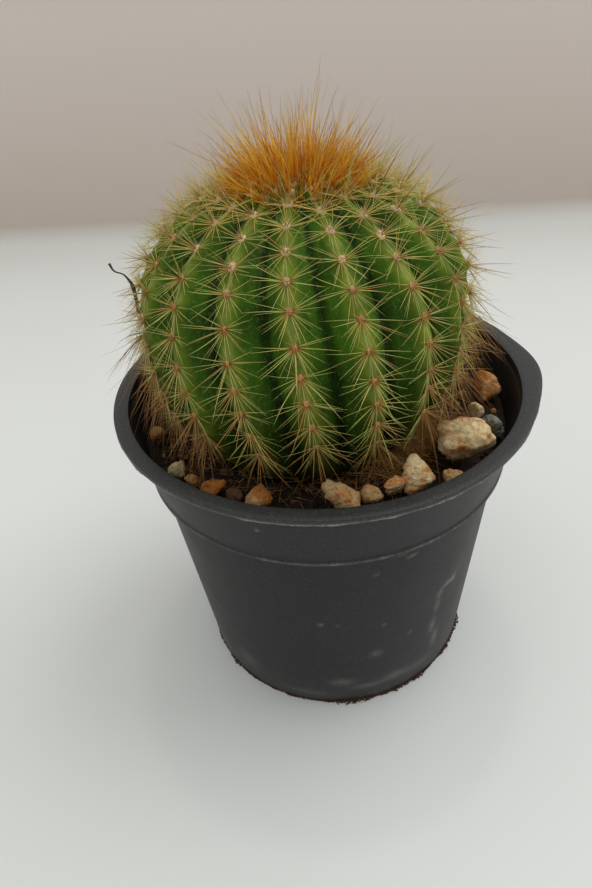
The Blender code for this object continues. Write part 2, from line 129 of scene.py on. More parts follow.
# Marks on the pot's outside: azimuth in degrees, height in mm, width and height in mm, strength
POT_MARKS = (
    (38.8, 32.4, 0.9, 1.1, 0.5), (42.4, 34.1, 1.6, 0.7, 0.8), (45.6, 34.2, 0.8, 1.2, 0.7),
    (38.6, 28.0, 0.8, 2.6, 0.4), (38.0, 20.8, 0.9, 2.6, 0.5), (41.0, 14.0, 1.0, 3.2, 0.5),
    (20.4, 53.6, 1.2, 0.25, 0.7), (23.6, 51.9, 0.9, 0.3, 0.7), (-5.3, 33.8, 0.5, 0.5, 0.6),
    (16.1, 30.8, 0.4, 0.4, 0.6), (12.5, 49.3, 0.45, 0.4, 0.5), (27.0, 23.7, 0.5, 0.5, 0.5),
    (0.4, 33.4, 0.35, 0.4, 0.5), (-17.8, 65.9, 0.35, 0.4, 0.8), (0.7, 9.4, 2.6, 1.4, 0.4),
    (13.8, 19.9, 1.4, 1.4, 0.35), (22.5, 7.4, 3.0, 1.6, 0.4), (11.2, 6.4, 3.6, 1.0, 0.35),
    (-14.0, 4.0, 5.0, 1.2, 0.2), (34.0, 6.5, 4.0, 1.5, 0.25), (-40.0, 9.0, 3.0, 3.0, 0.2),
    (-62.0, 40.0, 1.2, 4.0, 0.25), (96.0, 30.0, 1.5, 5.0, 0.35), (150.0, 22.0, 3.0, 1.2, 0.4),
    (196.0, 44.0, 0.9, 2.5, 0.4), (243.0, 16.0, 2.5, 2.0, 0.35),
)

TINTS = 24  # steps of shade between one spine, stone or crumb and the next
CELL = 1.0 / TINTS  # width of one shade's column in the baked map
BAKED_MAP = "OFBake"


# ---------------------------------------------------------------- settings


def linear(hex_colour):
    """An sRGB hex colour such as "#4a6b2a" as linear red, green, blue and alpha."""
    channels = [int(hex_colour[at : at + 2], 16) / 255.0 for at in (1, 3, 5)]
    return (*[c / 12.92 if c <= 0.04045 else ((c + 0.055) / 1.055) ** 2.4 for c in channels], 1.0)


def colour_setting(name, description, hex_colour):
    return FloatVectorProperty(
        name=name, description=description, subtype="COLOR", size=3, min=0.0, max=1.0,
        default=linear(hex_colour)[:3],
    )


def length_setting(name, description, millimetres):
    return FloatProperty(
        name=name, description=description, subtype="DISTANCE", unit="LENGTH", min=0.0,
        default=millimetres * MM,
    )


class StemSettings(bpy.types.PropertyGroup):
    """Skin and ribs of the stem"""

    crest_colour: colour_setting("Crests", "Skin along the rounded top of each rib", "#72861f")
    flank_colour: colour_setting("Flanks", "Skin on the sides of the ribs", "#3f660c")
    # Painted shade: this colour darkens the skin down in the folds between the ribs, where shade
    # falls.
    furrow_shade_colour: colour_setting("Furrows", "Skin down in the folds between ribs", "#1b3606")
    rib_depth: length_setting("Rib depth", "From a crest down to the fold beside it", 5.0)
    swelling: length_setting("Areole swelling", "How far the skin swells under each areole", 0.4)


class SpineSettings(bpy.types.PropertyGroup):
    """Spines in a row down each rib"""

    radial_count: IntProperty(
        name="Radial spines", description="Spines that fan out of each areole", default=14, min=3
    )
    central_count: IntProperty(
        name="Central spines", description="Stouter spines that stand out of each areole",
        default=3, min=0,
    )
    radial_length: length_setting("Radial length", "Length of the fanned spines", 7.6)
    central_length: length_setting("Central length", "Length of the standing spines", 9.5)
    thickness: length_setting("Thickness", "Diameter of a spine at its foot", 0.15)
    straw_colour: colour_setting("Straw", "Middle of the fanned spines", "#c0ba62")
    amber_colour: colour_setting("Amber", "Foot of the spines", "#b57834")
    dry_colour: colour_setting("Dry", "Old spines near the soil", "#ad7a3c")
    felt_colour: colour_setting("Felt", "Woolly cushion that each group grows from", "#c98f54")
    young_felt_colour: colour_setting("Young felt", "Paler cushions next to the crown", "#e6cf9c")
    golden_colour: colour_setting("Golden", "Fine spines round the areoles", "#e4c468")


class CrownSettings(bpy.types.PropertyGroup):
    """Tuft of long bristles and wool on the stem's top"""

    bristles: IntProperty(
        name="Bristles", description="Bristles out of each young areole", default=9, min=1
    )
    short_bristles: IntProperty(
        name="Short bristles", description="Fine short bristles out of each young areole",
        default=31, min=0,
    )
    length: length_setting("Length", "Length of the longest bristles", 18.0)
    foot_colour: colour_setting("Foot", "Foot of the bristles", "#ec9206")
    middle_colour: colour_setting("Middle", "Middle of the bristles", "#e8b038")
    tip_colour: colour_setting("Tip", "Tips of the bristles", "#8f5c2a")
    wool_colour: colour_setting("Wool", "Wool between the bristles", "#dcbf85")


class PotSettings(bpy.types.PropertyGroup):
    """Moulded nursery pot"""

    plastic_colour: colour_setting("Plastic", "Moulded polypropylene", "#131414")
    # Also paints the highlights on the step bead and the rim's top.
    wear_colour: colour_setting("Wear", "Scuffs, dust and flash on the plastic", "#8f908c")
    # Also the colour of the painted contact shadow at the pot's foot.
    dirt_and_shadow_colour: colour_setting("Dirt", "Dried soil round the foot", "#33261b")
    flash: length_setting("Flash", "How far the ragged moulding line stands out", 0.28)


class GroundSettings(bpy.types.PropertyGroup):
    """Soil and grit in the pot"""

    soil_colour: colour_setting("Soil", "Damp potting soil", "#2c1c10")
    crumb_count: IntProperty(
        name="Crumbs", description="Loose crumbs of soil on the surface", default=1300, min=0
    )
    grit_count: IntProperty(
        name="Small grit", description="Grains of grit among the crumbs", default=60, min=0
    )
    cream_colour: colour_setting("Cream", "Palest stone", "#e6d2a4")
    tan_colour: colour_setting("Tan", "Most of the stone", "#bd9059")
    stain_colour: colour_setting("Stain", "Iron stain on the stone", "#c27a32")
    # Also the colour of the painted contact shadow round the pot's foot.
    dirt_and_shadow_colour: colour_setting("Dirt", "Dried soil round the pot's foot", "#4a3222")
    root_colour: colour_setting("Dried root", "Strand of dried root in the spines", "#4a3d36")


class StageSettings(bpy.types.PropertyGroup):
    """Table, wall, light and camera"""

    table_colour: colour_setting("Table", "Pale table", "#e3e4e1")
    wall_colour: colour_setting("Wall", "Taupe wall behind the table", "#e4d7cf")
    daylight: FloatProperty(
        name="Daylight", description="Strength of the even light all round", default=0.76, min=0.0
    )
    lamp_power: FloatProperty(
        name="Lamp", description="Power of the ceiling lamp", subtype="POWER", unit="POWER",
        default=0.8, min=0.0,
    )
    sky_power: FloatProperty(
        name="Soft light", description="Power of the large soft light overhead",
        subtype="POWER", unit="POWER", default=6.0, min=0.0,
    )


SETTINGS = {
    "cactus_stem": StemSettings,
    "cactus_spines": SpineSettings,
    "cactus_crown": CrownSettings,
    "cactus_pot": PotSettings,
    "cactus_ground": GroundSettings,
    "cactus_stage": StageSettings,
}


# ---------------------------------------------------------------- nodes


def rgba(colour):
    """Linear red, green, blue and alpha of a colour setting or of an sRGB hex."""
    return (*(linear(colour) if isinstance(colour, str) else colour)[:3], 1.0)


def add_node(tree, kind, output, inputs=None, stops=(), **settings):
    """Adds a shader node and returns one of its outputs. An input is given by name or number, as
    a value or as the output to link from; stops are a colour ramp's places and colours."""
    node = tree.nodes.new("ShaderNode" + kind)
    for name, value in settings.items():
        setattr(node, name, value)
    for name, value in (inputs or {}).items():
        socket = node.inputs[name]
        if isinstance(value, bpy.types.NodeSocket):
            tree.links.new(value, socket)
        else:
            socket.default_value = rgba(value) if socket.type == "RGBA" else value
    while stops and len(node.color_ramp.elements) < len(stops):
        node.color_ramp.elements.new(0.5)
    for element, (place, colour) in zip(node.color_ramp.elements if stops else (), stops):
        element.position = place
        element.color = rgba(colour)
    return node.outputs[output]


def shaded(tree, colour, factor, darkest, brightest, lowest=0.0, highest=1.0, hue=0.5):
    """A colour made darker or brighter as a factor goes from its lowest to its highest."""
    value = add_node(tree, "MapRange", "Result", {
        "Value": factor, "From Min": lowest, "From Max": highest, "To Min": darkest,
        "To Max": brightest,
    })
    return add_node(tree, "HueSaturation", "Color", {"Hue": hue, "Value": value, "Color": colour})


def tinted(tree, colour, factor, stops, share=1.0):
    """A colour multiplied by a ramp of colours that a factor runs along."""
    ramp = add_node(tree, "ValToRGB", "Color", {"Fac": factor}, stops)
    return add_node(
        tree, "Mix", 2, {0: share, 6: colour, 7: ramp}, data_type="RGBA", blend_type="MULTIPLY"
    )


def masked(tree, below, above, factor, stops):
    """One colour over another, as far as a ramp of greys along a factor lets it show."""
    mask = add_node(tree, "ValToRGB", "Color", {"Fac": factor}, stops)
    return add_node(tree, "Mix", 2, {0: mask, 6: below, 7: above}, data_type="RGBA")


def new_material(name, roughness, ior, **sockets):
    """A material with one Principled shader, and its tree."""
    material = bpy.data.materials.new(name)
    material.use_nodes = True
    tree = material.node_tree
    for socket, value in {"Roughness": roughness, "IOR": ior, **sockets}.items():
        tree.nodes["Principled BSDF"].inputs[socket.replace("_", " ")].default_value = value
    return material, tree


def finished(material, colour, height=None, strength=0.0, millimetres=0.0, roughness=None):
    """Joins the shader to a colour, to a bump of a depth in mm and to a roughness."""
    tree = material.node_tree
    shader = tree.nodes["Principled BSDF"]
    tree.links.new(colour, shader.inputs["Base Color"])
    if roughness:
        tree.links.new(roughness, shader.inputs["Roughness"])
    if height:
        bump = add_node(tree, "Bump", "Normal", {
            "Strength": strength, "Distance": millimetres * MM, "Height": height,
        })
        tree.links.new(bump, shader.inputs["Normal"])
    return material


# ---------------------------------------------------------------- meshes


def turned_faces(rows, steps, first=0, last=1, flip=False):
    """Faces of rows of points round an axis: quads between the rows, then fans that close the
    first and the last row on the points of those numbers after the rows."""
    here = np.arange(steps)
    after = (here + 1) % steps
    row = (np.arange(rows - 1) * steps)[:, None]
    quads = np.stack([row + here, row + after, row + steps + after, row + steps + here], -1)
    quads = quads.reshape(-1, 4)
    foot = np.stack([after, here, np.full(steps, rows * steps + first)], -1)
    top = (rows - 1) * steps
    head = np.stack([top + here, top + after, np.full(steps, rows * steps + last)], -1)
    if flip:
        return quads[:, [0, 3, 2, 1]], foot[:, [1, 0, 2]], head[:, [1, 0, 2]]
    return quads, foot, head


def mesh_from(name, points, face_groups):
    """A mesh from an array of points and arrays of faces, one for each number of corners."""
    corners = np.concatenate([group.ravel() for group in face_groups])
    counts = np.concatenate([np.full(len(group), group.shape[1]) for group in face_groups])
    mesh = bpy.data.meshes.new(name)
    mesh.vertices.add(len(points))
    mesh.vertices.foreach_set("co", np.ascontiguousarray(points, np.float32).ravel())
    mesh.loops.add(len(corners))
    mesh.loops.foreach_set("vertex_index", corners.astype(np.int32))
    mesh.polygons.add(len(counts))
    starts = np.concatenate([[0], np.cumsum(counts)[:-1]])
    mesh.polygons.foreach_set("loop_start", starts.astype(np.int32))
    mesh.update(calc_edges=True)
    mesh.shade_smooth()
    return mesh


def add_piece(name, mesh, materials, slot, replaces=(), uv=None, face_material=None, **attributes):
    """Puts a mesh in the scene as a piece of the object, riding on the frame."""
    for key, values in attributes.items():
        layer = mesh.attributes.new(key, "FLOAT", "POINT")
        layer.data.foreach_set("value", np.ascontiguousarray(values, np.float32))
    if uv is not None:
        layer = mesh.uv_layers.new(name=BAKED_MAP)
        layer.data.foreach_set("uv", np.ascontiguousarray(uv, np.float32).ravel())
    for material in materials:
        mesh.materials.append(material)
    if face_material is not None:
        mesh.polygons.foreach_set("material_index", face_material.astype(np.int32))
    piece = bpy.data.objects.new(name, mesh)
    bpy.context.scene.collection.objects.link(piece)
    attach(piece, BODY)
    if replaces:
        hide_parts(*replaces)
    return piece


def roughened(points, size, seed, octaves=1):
    """Smooth noise between about -1 and 1 at each point, with lumps of a given size."""
    start = Vector((seed * 3.71, seed * 1.93, seed * 0.57))
    places = [Vector(point) + start for point in points / size]
    if octaves == 1:
        return np.array([noise.noise(place) for place in places])
    return np.array([noise.fractal(place, 0.8, 2.1, octaves) for place in places])


def unit(vectors):
    return vectors / np.maximum(np.linalg.norm(vectors, axis=-1, keepdims=True), 1e-12)


def layered(*parts):
    """Arrays spread to one shape and laid side by side along a new last axis."""
    return np.stack(np.broadcast_arrays(*parts), -1)


def round_axis(radius, azimuth, z):
    """Points about the pot's axis."""
    return layered(radius * np.sin(azimuth), -radius * np.cos(azimuth), z)


def ball_mesh(detail, radius):
    """Points and triangles of an evenly divided ball."""
    bm = bmesh.new()
    bmesh.ops.create_icosphere(bm, subdivisions=detail, radius=radius)
    points = np.array([vert.co for vert in bm.verts])
    faces = np.array([[vert.index for vert in face.verts] for face in bm.faces])
    bm.free()
    return points, faces


def lumps(centres, sizes, detail, draw):
    """Rough rounded grains, one at each centre. Returns their points, triangles and owners."""
    ball, faces = ball_mesh(detail, 0.5)
    count = len(centres)
    turns = np.linalg.qr(unit(draw.normal(size=(count, 3, 3))))[0]
    stretch = draw.uniform(0.65, 1.0, size=(count, 1, 3))
    waves = draw.normal(0.0, 7.0, size=(count, 4, 3))
    starts = draw.uniform(0.0, TAU, size=(count, 1, 4))
    swell = np.sin(np.einsum("vj,nkj->nvk", ball, waves) + starts).mean(axis=2)[..., None]
    fine = draw.uniform(-1.0, 1.0, size=(count, len(ball), 1))
    bumps = 1.0 + 0.3 * (1.3 * swell + 0.45 * fine)
    grains = np.einsum("nij,nvj->nvi", turns, ball[None] * stretch * bumps)
    points = centres[:, None] + grains * np.reshape(sizes, (-1, 1, 1))
    faces = faces[None] + (np.arange(count) * len(ball))[:, None, None]
    flipped = np.linalg.det(turns) < 0.0
    faces[flipped] = faces[flipped][..., ::-1]
    return points.reshape(-1, 3), faces.reshape(-1, 3), np.repeat(np.arange(count), len(ball))


class Bristles:
    """Gathers tapering hairs, spines and felt pads into one mesh with a map of shade by length."""

    def __init__(self, draw):
        self.draw = draw
        self.parts = []
        self.faces = {3: [], 4: [], 5: []}
        self.count = 0

    def add_points(self, points, along):
        """Adds the points of like shapes, each with a shade of its own. Returns the shades and
        the number of each shape's first point."""
        count, each = points.shape[:2]
        shade = (self.draw.integers(0, TINTS, count) + 0.5) / TINTS
        self.parts.append((points.reshape(-1, 3), np.tile(along, count), np.repeat(shade, each)))
        base = self.count + np.arange(count) * each
        self.count += count * each
        return shade, base

    def add_faces(self, faces, base, uv, material):
        corners = faces.shape[-1]
        faces = (faces.reshape(-1, corners)[None] + base[:, None, None]).reshape(-1, corners)
        self.faces[corners].append((faces, uv.reshape(-1, 2), np.full(len(faces), material)))

    def add_hairs(self, roots, ways, lengths, bends, radii, material=0, rings=6, sides=5):
        """Closed, tapering tubes from their roots. A bend is how far the tip is carried aside,
        as a share of the length."""
        count = len(roots)
        if not count:
            return
        steps = np.arange(rings) / rings
        spine = roots[:, None] + ways[:, None] * (lengths[:, None] * steps)[..., None]
        spine = spine + bends[:, None] * (lengths[:, None] * steps**2)[..., None]
        tips = roots + ways * lengths[:, None] + bends * lengths[:, None]
        helper = np.where(np.abs(ways[:, 2:]) < 0.9, [[0.0, 0.0, 1.0]], [[1.0, 0.0, 0.0]])
        across = unit(np.cross(ways, helper))
        beside = np.cross(ways, across)
        turns = TAU * np.arange(sides) / sides
        ring = across[:, None] * np.cos(turns)[:, None] + beside[:, None] * np.sin(turns)[:, None]
        width = (radii[:, None] * (1.0 - steps) ** 0.65)[:, :, None, None]
        tube = spine[:, :, None] + ring[:, None] * width
        points = np.concatenate([tube.reshape(count, -1, 3), tips[:, None]], axis=1)
        shade, base = self.add_points(points, np.concatenate([np.repeat(steps, sides), [1.0]]))
        here = np.arange(sides)
        quads, _, tip_faces = turned_faces(rings, sides, last=0)
        low = (shade - 0.4 * CELL)[:, None, None]
        share = np.stack([here, here + 1, here + 1, here], -1) / sides
        level = np.stack([steps[:-1], steps[:-1], steps[1:], steps[1:]], -1)[:, None]
        tip_share = np.stack([here, here + 1, here + 0.5], -1) / sides
        cap_share, cap_level = 0.5 + 0.5 * np.cos(turns[::-1]), 0.01 + 0.01 * np.sin(turns[::-1])
        squeeze, shift = ((0.48, 0.0), (0.14, 0.82), (0.14, 0.5), (0.14, 0.66))[material]
        for faces, uv in (
            (quads, layered(low[:, None] + 0.8 * CELL * share, level[None])),
            (tip_faces, layered(low + 0.8 * CELL * tip_share, [steps[-1], steps[-1], 1.0])),
            (here[None, ::-1], layered(low + 0.8 * CELL * cap_share, cap_level)),
        ):
            self.add_faces(faces, base, uv * [squeeze, 0.96] + [shift, 0.02], material)

    def add_pads(self, centres, frames, sizes, steps=8, rows=5):
        """Low woolly domes. A frame's columns point outwards, down the rib and sideways."""
        turns = TAU * np.arange(steps) / steps
        rises = np.linspace(-0.35, 0.5, rows + 1)[:-1] * math.pi
        dome = layered(
            np.sin(rises)[:, None],
            np.cos(rises)[:, None] * np.cos(turns), np.cos(rises)[:, None] * np.sin(turns),
        ).reshape(-1, 3)
        dome = np.concatenate([dome, [[1.0, 0.0, 0.0], [-0.7, 0.0, 0.0]]])
        bumps = 1.0 + 0.2 * self.draw.uniform(-1.0, 1.0, size=(len(centres), len(dome), 1))
        local = dome[None] * bumps * sizes[:, None]
        points = centres[:, None] + np.einsum("nij,nvj->nvi", frames, local)
        rise = np.concatenate([np.repeat(rises / math.pi + 0.5, steps), [1.0], [0.0]])
        shade, base = self.add_points(points, rise)
        inwards = 1.0 - 0.8 * np.linspace(0.0, 1.0, rows)[:, None]
        flat = layered(inwards * np.cos(turns), inwards * np.sin(turns)).reshape(-1, 2)
        flat = 0.5 + 0.4 * np.concatenate([flat, [[0.0, 0.0], [1.2, 0.0]]])
        side = (shade - 0.4 * CELL)[:, None, None]
        corner = np.concatenate([side, np.full_like(side, 0.02)], -1)
        spot = (flat[None] * [0.8 * CELL, 0.96] + corner) * [0.14, 1.0] + [0.82, 0.0]
        quads, foot, top = turned_faces(rows, steps, first=1, last=0)
        for faces in (quads, top, foot):
            self.add_faces(faces, base, spot[:, faces], 1)

    def piece(self, name, materials, slot, replaces=()):
        points, along, tint = (np.concatenate(part) for part in zip(*self.parts))
        kinds = [kind for kind in self.faces.values() if kind]
        joined = ([np.concatenate(part) for part in zip(*kind)] for kind in kinds)
        groups, maps, looks = zip(*joined)
        return add_piece(
            name, mesh_from(name, points, groups), materials, slot, replaces,
            uv=np.concatenate(maps), face_material=np.concatenate(looks), along=along, tint=tint,
            height=np.clip(stem_share(points[:, 2]), 0.0, 1.0),
        )


# ---------------------------------------------------------------- the stem's shape


def crest_curve(elevation):
    """Radius and height of the rib crests at elevation angles from -90 to 90 degrees."""
    power = 2.0 / STEM_FULLNESS
    reach = np.where(elevation > 0.0, STEM_UPPER, STEM_LOWER)
    radius = STEM_RADIUS * np.maximum(np.cos(elevation), 0.0) ** power
    rise = reach * np.sign(elevation) * np.abs(np.sin(elevation)) ** power
    return radius, STEM_CENTRE_Z + rise


def on_stem(radius, azimuth, z):
    """Points about the stem's axis, which leans above the soil line."""
    above = np.maximum(z - SOIL_TOP, 0.0)
    return layered(
        STEM_X + LEAN_X * above + radius * np.sin(azimuth),
        STEM_Y + LEAN_Y * above - radius * np.cos(azimuth),
        z,
    )


def rib_azimuth(rib, z):
    return RIB_PHASE + rib * RIB_PITCH + RIB_TWIST * (z - STEM_CENTRE_Z)


def crest_table():
    """Elevations down a crest and the distance along it from the stem's top."""
    elevation = np.radians(np.linspace(89.9, -60.0, 3000))
    radius, z = crest_curve(elevation)
    along = np.concatenate([[0.0], np.cumsum(np.hypot(np.diff(radius), np.diff(z)))])
    return elevation, along + radius[0]


CREST_ELEVATION, CREST_ALONG = crest_table()


def crest_at(along):
    """Radius and height of the rib crests at a distance along them from the stem's top."""
    return crest_curve(np.interp(along, CREST_ALONG, CREST_ELEVATION))


def areole_frames(rib, along):
    """Places on a rib's crest, and frames whose columns point outwards, down and sideways."""
    places = []
    for distance in (along + 0.1 * MM, along):
        radius, z = crest_at(distance)
        azimuth = rib_azimuth(rib, z)
        places.append(on_stem(radius, azimuth, z))
    below, here = places
    down = unit(below - here)
    side = layered(np.cos(azimuth), np.sin(azimuth), 0.0)
    side = unit(side - down * np.sum(side * down, axis=-1, keepdims=True))
    out = np.cross(side, down)
    outwards = layered(np.sin(azimuth), -np.cos(azimuth), 0.3)
    out = out * np.sign(np.sum(out * outwards, axis=-1, keepdims=True))
    return here, np.stack([out, down, side], -1)


def stem_share(z):
    """How far up from the soil to the stem's top a height is."""
    return (z - SOIL_TOP) / (CROWN_TOP - SOIL_TOP)


def sideways(row):
    """How far a row of areoles lies to the right (1) or the left (-1) of the stem."""
    out = row[0] - on_stem(0.0, 0.0, row[0, 2])
    return out[0] / np.hypot(out[0], out[1])


def soil_line_radius():
    """Radius of the rib crests where the stem goes into the soil."""
    radius, z = crest_curve(np.radians(np.linspace(-89.0, -1.0, 300)))
    return float(np.interp(SOIL_TOP, z, radius))


def wall_radius(z):
    """Inner radius of the pot at a height."""
    step_z = SKIRT_FOOT + WALL
    body = FOOT_RADIUS - WALL + BODY_TAPER * z / SKIRT_FOOT
    taper = SKIRT_TAPER - LEDGE_WIDTH
    skirt = SKIRT_FOOT_RADIUS - WALL + taper * (z - step_z) / (LEDGE_Z - step_z)
    return skirt if z >= step_z else body


def kept_in_pot(roots, ways, bends, lengths):
    """Shortens what would end in the soil or in the pot's wall."""
    lengths = lengths.copy()
    for _ in range(14):
        tips = roots + (ways + bends) * lengths[:, None]
        low = tips[:, 2] < SOIL_TOP + 0.3 * MM
        reach = np.hypot(tips[:, 0], tips[:, 1])
        walled = (reach > RIM_INNER_RADIUS - 1.2 * MM) & (tips[:, 2] < POT_HEIGHT + 0.5 * MM)
        lengths[low | walled] *= 0.9
    return lengths


def repeated(each, *arrays):
    return [np.repeat(array, each, axis=0) for array in arrays]


def fanned(frames, angles, lifts):
    """Directions at an angle round from straight down the rib, lifted off its surface."""
    out, down, side = frames[..., 0], frames[..., 1], frames[..., 2]
    flat = down * np.cos(angles)[:, None] + side * np.sin(angles)[:, None]
    return unit(flat * np.cos(lifts)[:, None] + out * np.sin(lifts)[:, None])


def add_felt(bristles, places, frames, sizes, each, foot, lengths, bend):
    """Short matted hairs on each pad, whose feet and lengths are shares of the pad's size."""
    draw = bristles.draw
    places, frames, sizes = repeated(each, places, frames, sizes)
    count = len(places)
    ways = fanned(frames, draw.uniform(0.0, TAU, count), np.radians(draw.uniform(5, 85, count)))
    roots = places + ways * sizes[:, None] * foot
    lengths = draw.uniform(*lengths, count) * sizes
    bends = bend * draw.normal(size=(count, 3))
    radii = np.full(count, 0.045 * MM)
    bristles.add_hairs(roots, ways, lengths, bends, radii, material=1, rings=2, sides=3)


# ---------------------------------------------------------------- stem


def skin_material(settings):
    """Living cactus skin, waxy and matt. It gives soft light on the crests, a mottled green that
    darkens into the folds as painted shade, and pale corky flecks near the soil."""
    material, tree = new_material("cactus_skin_matt", 0.66, 1.42, Specular_IOR_Level=0.18)
    depth, height = (
        add_node(tree, "Attribute", "Fac", attribute_name=name) for name in ("depth", "height")
    )
    place = add_node(tree, "TexCoord", "Object")
    mottle, patches, flecks, grain = (
        add_node(tree, "TexNoise", "Fac", {
            "Vector": place, "Scale": scale, "Detail": detail, "Roughness": roughness,
        })
        for scale, detail, roughness in (
            (400.0, 4.0, 0.6),  # blotches about 2.5 mm wide
            (140.0, 2.0, 0.5),  # patches about 7 mm wide
            (1600.0, 3.0, 0.7),  # corky flecks about 0.6 mm wide
            (2800.0, 3.0, 0.5),  # pores about 0.35 mm wide
        )
    )
    warped = add_node(tree, "Math", 0, {0: mottle, 1: 0.3, 2: -0.15}, operation="MULTIPLY_ADD")
    shifted = add_node(tree, "Math", 0, {0: depth, 1: warped})
    # Painted shade: the ramp darkens the skin from the flanks down into the folds, following the
    # depth across each rib.
    colour = add_node(tree, "ValToRGB", "Color", {"Fac": shifted}, [
        (0.0, "#8a9946"), (0.07, settings.crest_colour), (0.3, settings.flank_colour),
        (0.62, settings.flank_colour), (0.95, settings.furrow_shade_colour),
    ])
    colour = tinted(tree, colour, patches, [(0.32, "#8fa270"), (0.68, "#ffffff")], 0.85)
    colour = tinted(tree, colour, height, [(0.0, "#8c7a58"), (0.3, "#cbc7a6"), (0.55, "#ffffff")])
    colour = masked(tree, colour, "#9aa86a", flecks, [(0.53, "#000000"), (0.7, "#808080")])
    return finished(material, colour, grain, 0.35, 0.12)


class CACTUS_OT_stem(bpy.types.Operator):
    """Makes the ribbed stem with its folds and its swellings under the areoles"""

    bl_idname = "cactus.make_stem"
    bl_label = "Stem"

    def execute(self, context):
        settings = context.scene.cactus_stem
        columns = 20 * RIB_COUNT
        above, below = np.linspace(89.0, -42.0, 150), np.linspace(-45.0, -88.0, 14)
        elevation = np.radians(np.concatenate([above, below]))[:, None]
        rows = len(elevation)
        turn = (TAU * np.arange(columns) / columns)[None]
        radius, z = crest_curve(elevation)
        across = np.abs(np.cos(0.5 * RIB_COUNT * turn))
        away = np.arccos(np.clip(across, 0.0, 1.0)) / (0.5 * math.pi)
        blunt = 0.03
        ridge = np.sqrt(away**2 + blunt) - math.sqrt(blunt)
        ridge = ridge / (math.sqrt(1.0 + blunt) - math.sqrt(blunt))
        depth = 0.5 * ridge + 0.5 * (1.0 - across)
        fade = np.clip((z - SOIL_TOP + 3.0 * MM) / RIB_FADE, 0.0, 1.0)
        groove = settings.rib_depth * fade * (radius / STEM_RADIUS) ** 0.8 * depth
        along = np.interp(-elevation, -CREST_ELEVATION, CREST_ALONG)
        nearest = np.round(turn / RIB_PITCH)
        first = np.array(FIRST_AREOLES)[nearest.astype(int) % RIB_COUNT] * MM
        phase = (along - first) / AREOLE_SPACING
        from_areole = (phase - np.round(phase)) * AREOLE_SPACING
        off_crest = ((turn / RIB_PITCH - nearest) * RIB_PITCH * radius / (2.0 * MM)) ** 2
        near = np.exp(-((from_areole / (1.5 * MM)) ** 2) - off_crest)
        bulge = settings.swelling * fade * (near - 0.35 * np.exp(-off_crest))
        azimuth = turn + RIB_PHASE + RIB_TWIST * (z - STEM_CENTRE_Z)
        level, rise = np.cos(elevation), np.sin(elevation)
        points = on_stem(radius - groove + bulge * level, azimuth, z + bulge * rise).reshape(-1, 3)
        wrinkle = 0.24 * MM * roughened(points, 3.5 * MM, 3, octaves=4)[:, None]
        outwards = unit(layered(level * np.sin(azimuth), -level * np.cos(azimuth), rise))
        ends = [on_stem(0.0, 0.0, crest_curve(math.radians(angle))[1]) for angle in (90.0, -90.0)]
        points = np.concatenate([points + outwards.reshape(-1, 3) * wrinkle, ends])
        mesh = mesh_from("cactus_stem_skin", points, turned_faces(rows, columns, flip=True))
        here, row, edge = np.arange(columns), np.arange(rows - 1), 1.0 / (rows + 1)
        maps = [layered(
            np.stack([here, here, here + 1, here + 1], -1) / columns,
            1.0 - (np.stack([row, row + 1, row + 1, row], -1)[:, None] + 1.0) / (rows + 1),
        )]
        for corners, levels in (
            ([here, here + 1, here + 0.5], [1.0 - edge, 1.0 - edge, 1.0]),
            ([here + 1, here, here + 0.5], [edge, edge, 0.0]),
        ):
            maps.append(layered(np.stack(corners, -1) / columns, levels))
        add_piece(
            "cactus_stem_skin", mesh, [skin_material(settings)], "green_skin", ["cactus_stem"],
            uv=np.concatenate([part.reshape(-1, 2) for part in maps]),
            depth=np.append(depth * fade, [0.0, 0.0]),
            height=np.clip(stem_share(points[:, 2]), 0.0, 1.0),
        )
        return {"FINISHED"}


# ---------------------------------------------------------------- spines


def spine_material(settings):
    """Keratin-hard cactus spine, smooth and slightly glossy. It gives an amber foot that pales to
    straw, with each spine a little lighter or browner than the next."""
    material, tree = new_material("cactus_spine_straw", 0.45, 1.54)
    along, tint, height = (
        add_node(tree, "Attribute", "Fac", attribute_name=name)
        for name in ("along", "tint", "height")
    )
    shaft = add_node(tree, "ValToRGB", "Color", {"Fac": along}, [
        (0.0, settings.amber_colour), (0.05, settings.amber_colour), (0.22, settings.straw_colour),
        (0.9, settings.straw_colour), (1.0, settings.amber_colour),
    ])
    fresh = add_node(tree, "MapRange", "Result", {
        "Value": height, "From Min": 0.05, "From Max": 0.45, "To Min": 0.35, "To Max": 0.9,
    })
    drier = add_node(tree, "Math", 0, {0: tint, 1: fresh}, operation="GREATER_THAN")
    share = add_node(tree, "Math", 0, {0: drier, 1: 0.85}, operation="MULTIPLY")
    dried = add_node(tree, "Mix", 2, {0: share, 6: shaft, 7: settings.dry_colour}, data_type="RGBA")
    return finished(material, shaded(tree, dried, tint, 0.78, 1.18))


def hair_material(name, colour):
    """Thin dry spine, slightly glossy. It gives a soft fringe of one colour, each hair a little
    lighter or darker than the next."""
    material, tree = new_material(name, 0.5, 1.54)
    tint = add_node(tree, "Attribute", "Fac", attribute_name="tint")
    return finished(material, shaded(tree, colour, tint, 0.6, 1.25))


def felt_material(settings):
    """Areole felt, short matted plant wool. It gives a dull, dusty rust-coloured cushion."""
    material, tree = new_material(
        "areole_felt_woolly", 0.95, 1.5, Sheen_Weight=0.25, Sheen_Roughness=0.6
    )
    along, tint, height = (
        add_node(tree, "Attribute", "Fac", attribute_name=name)
        for name in ("along", "tint", "height")
    )
    youth = add_node(tree, "MapRange", "Result", {
        "Value": height, "From Min": 0.72, "From Max": 0.93,
    })
    aged = add_node(tree, "Mix", 2, {
        0: youth, 6: settings.felt_colour, 7: settings.young_felt_colour,
    }, data_type="RGBA")
    return finished(material, shaded(tree, shaded(tree, aged, along, 0.72, 1.15), tint, 0.8, 1.15))


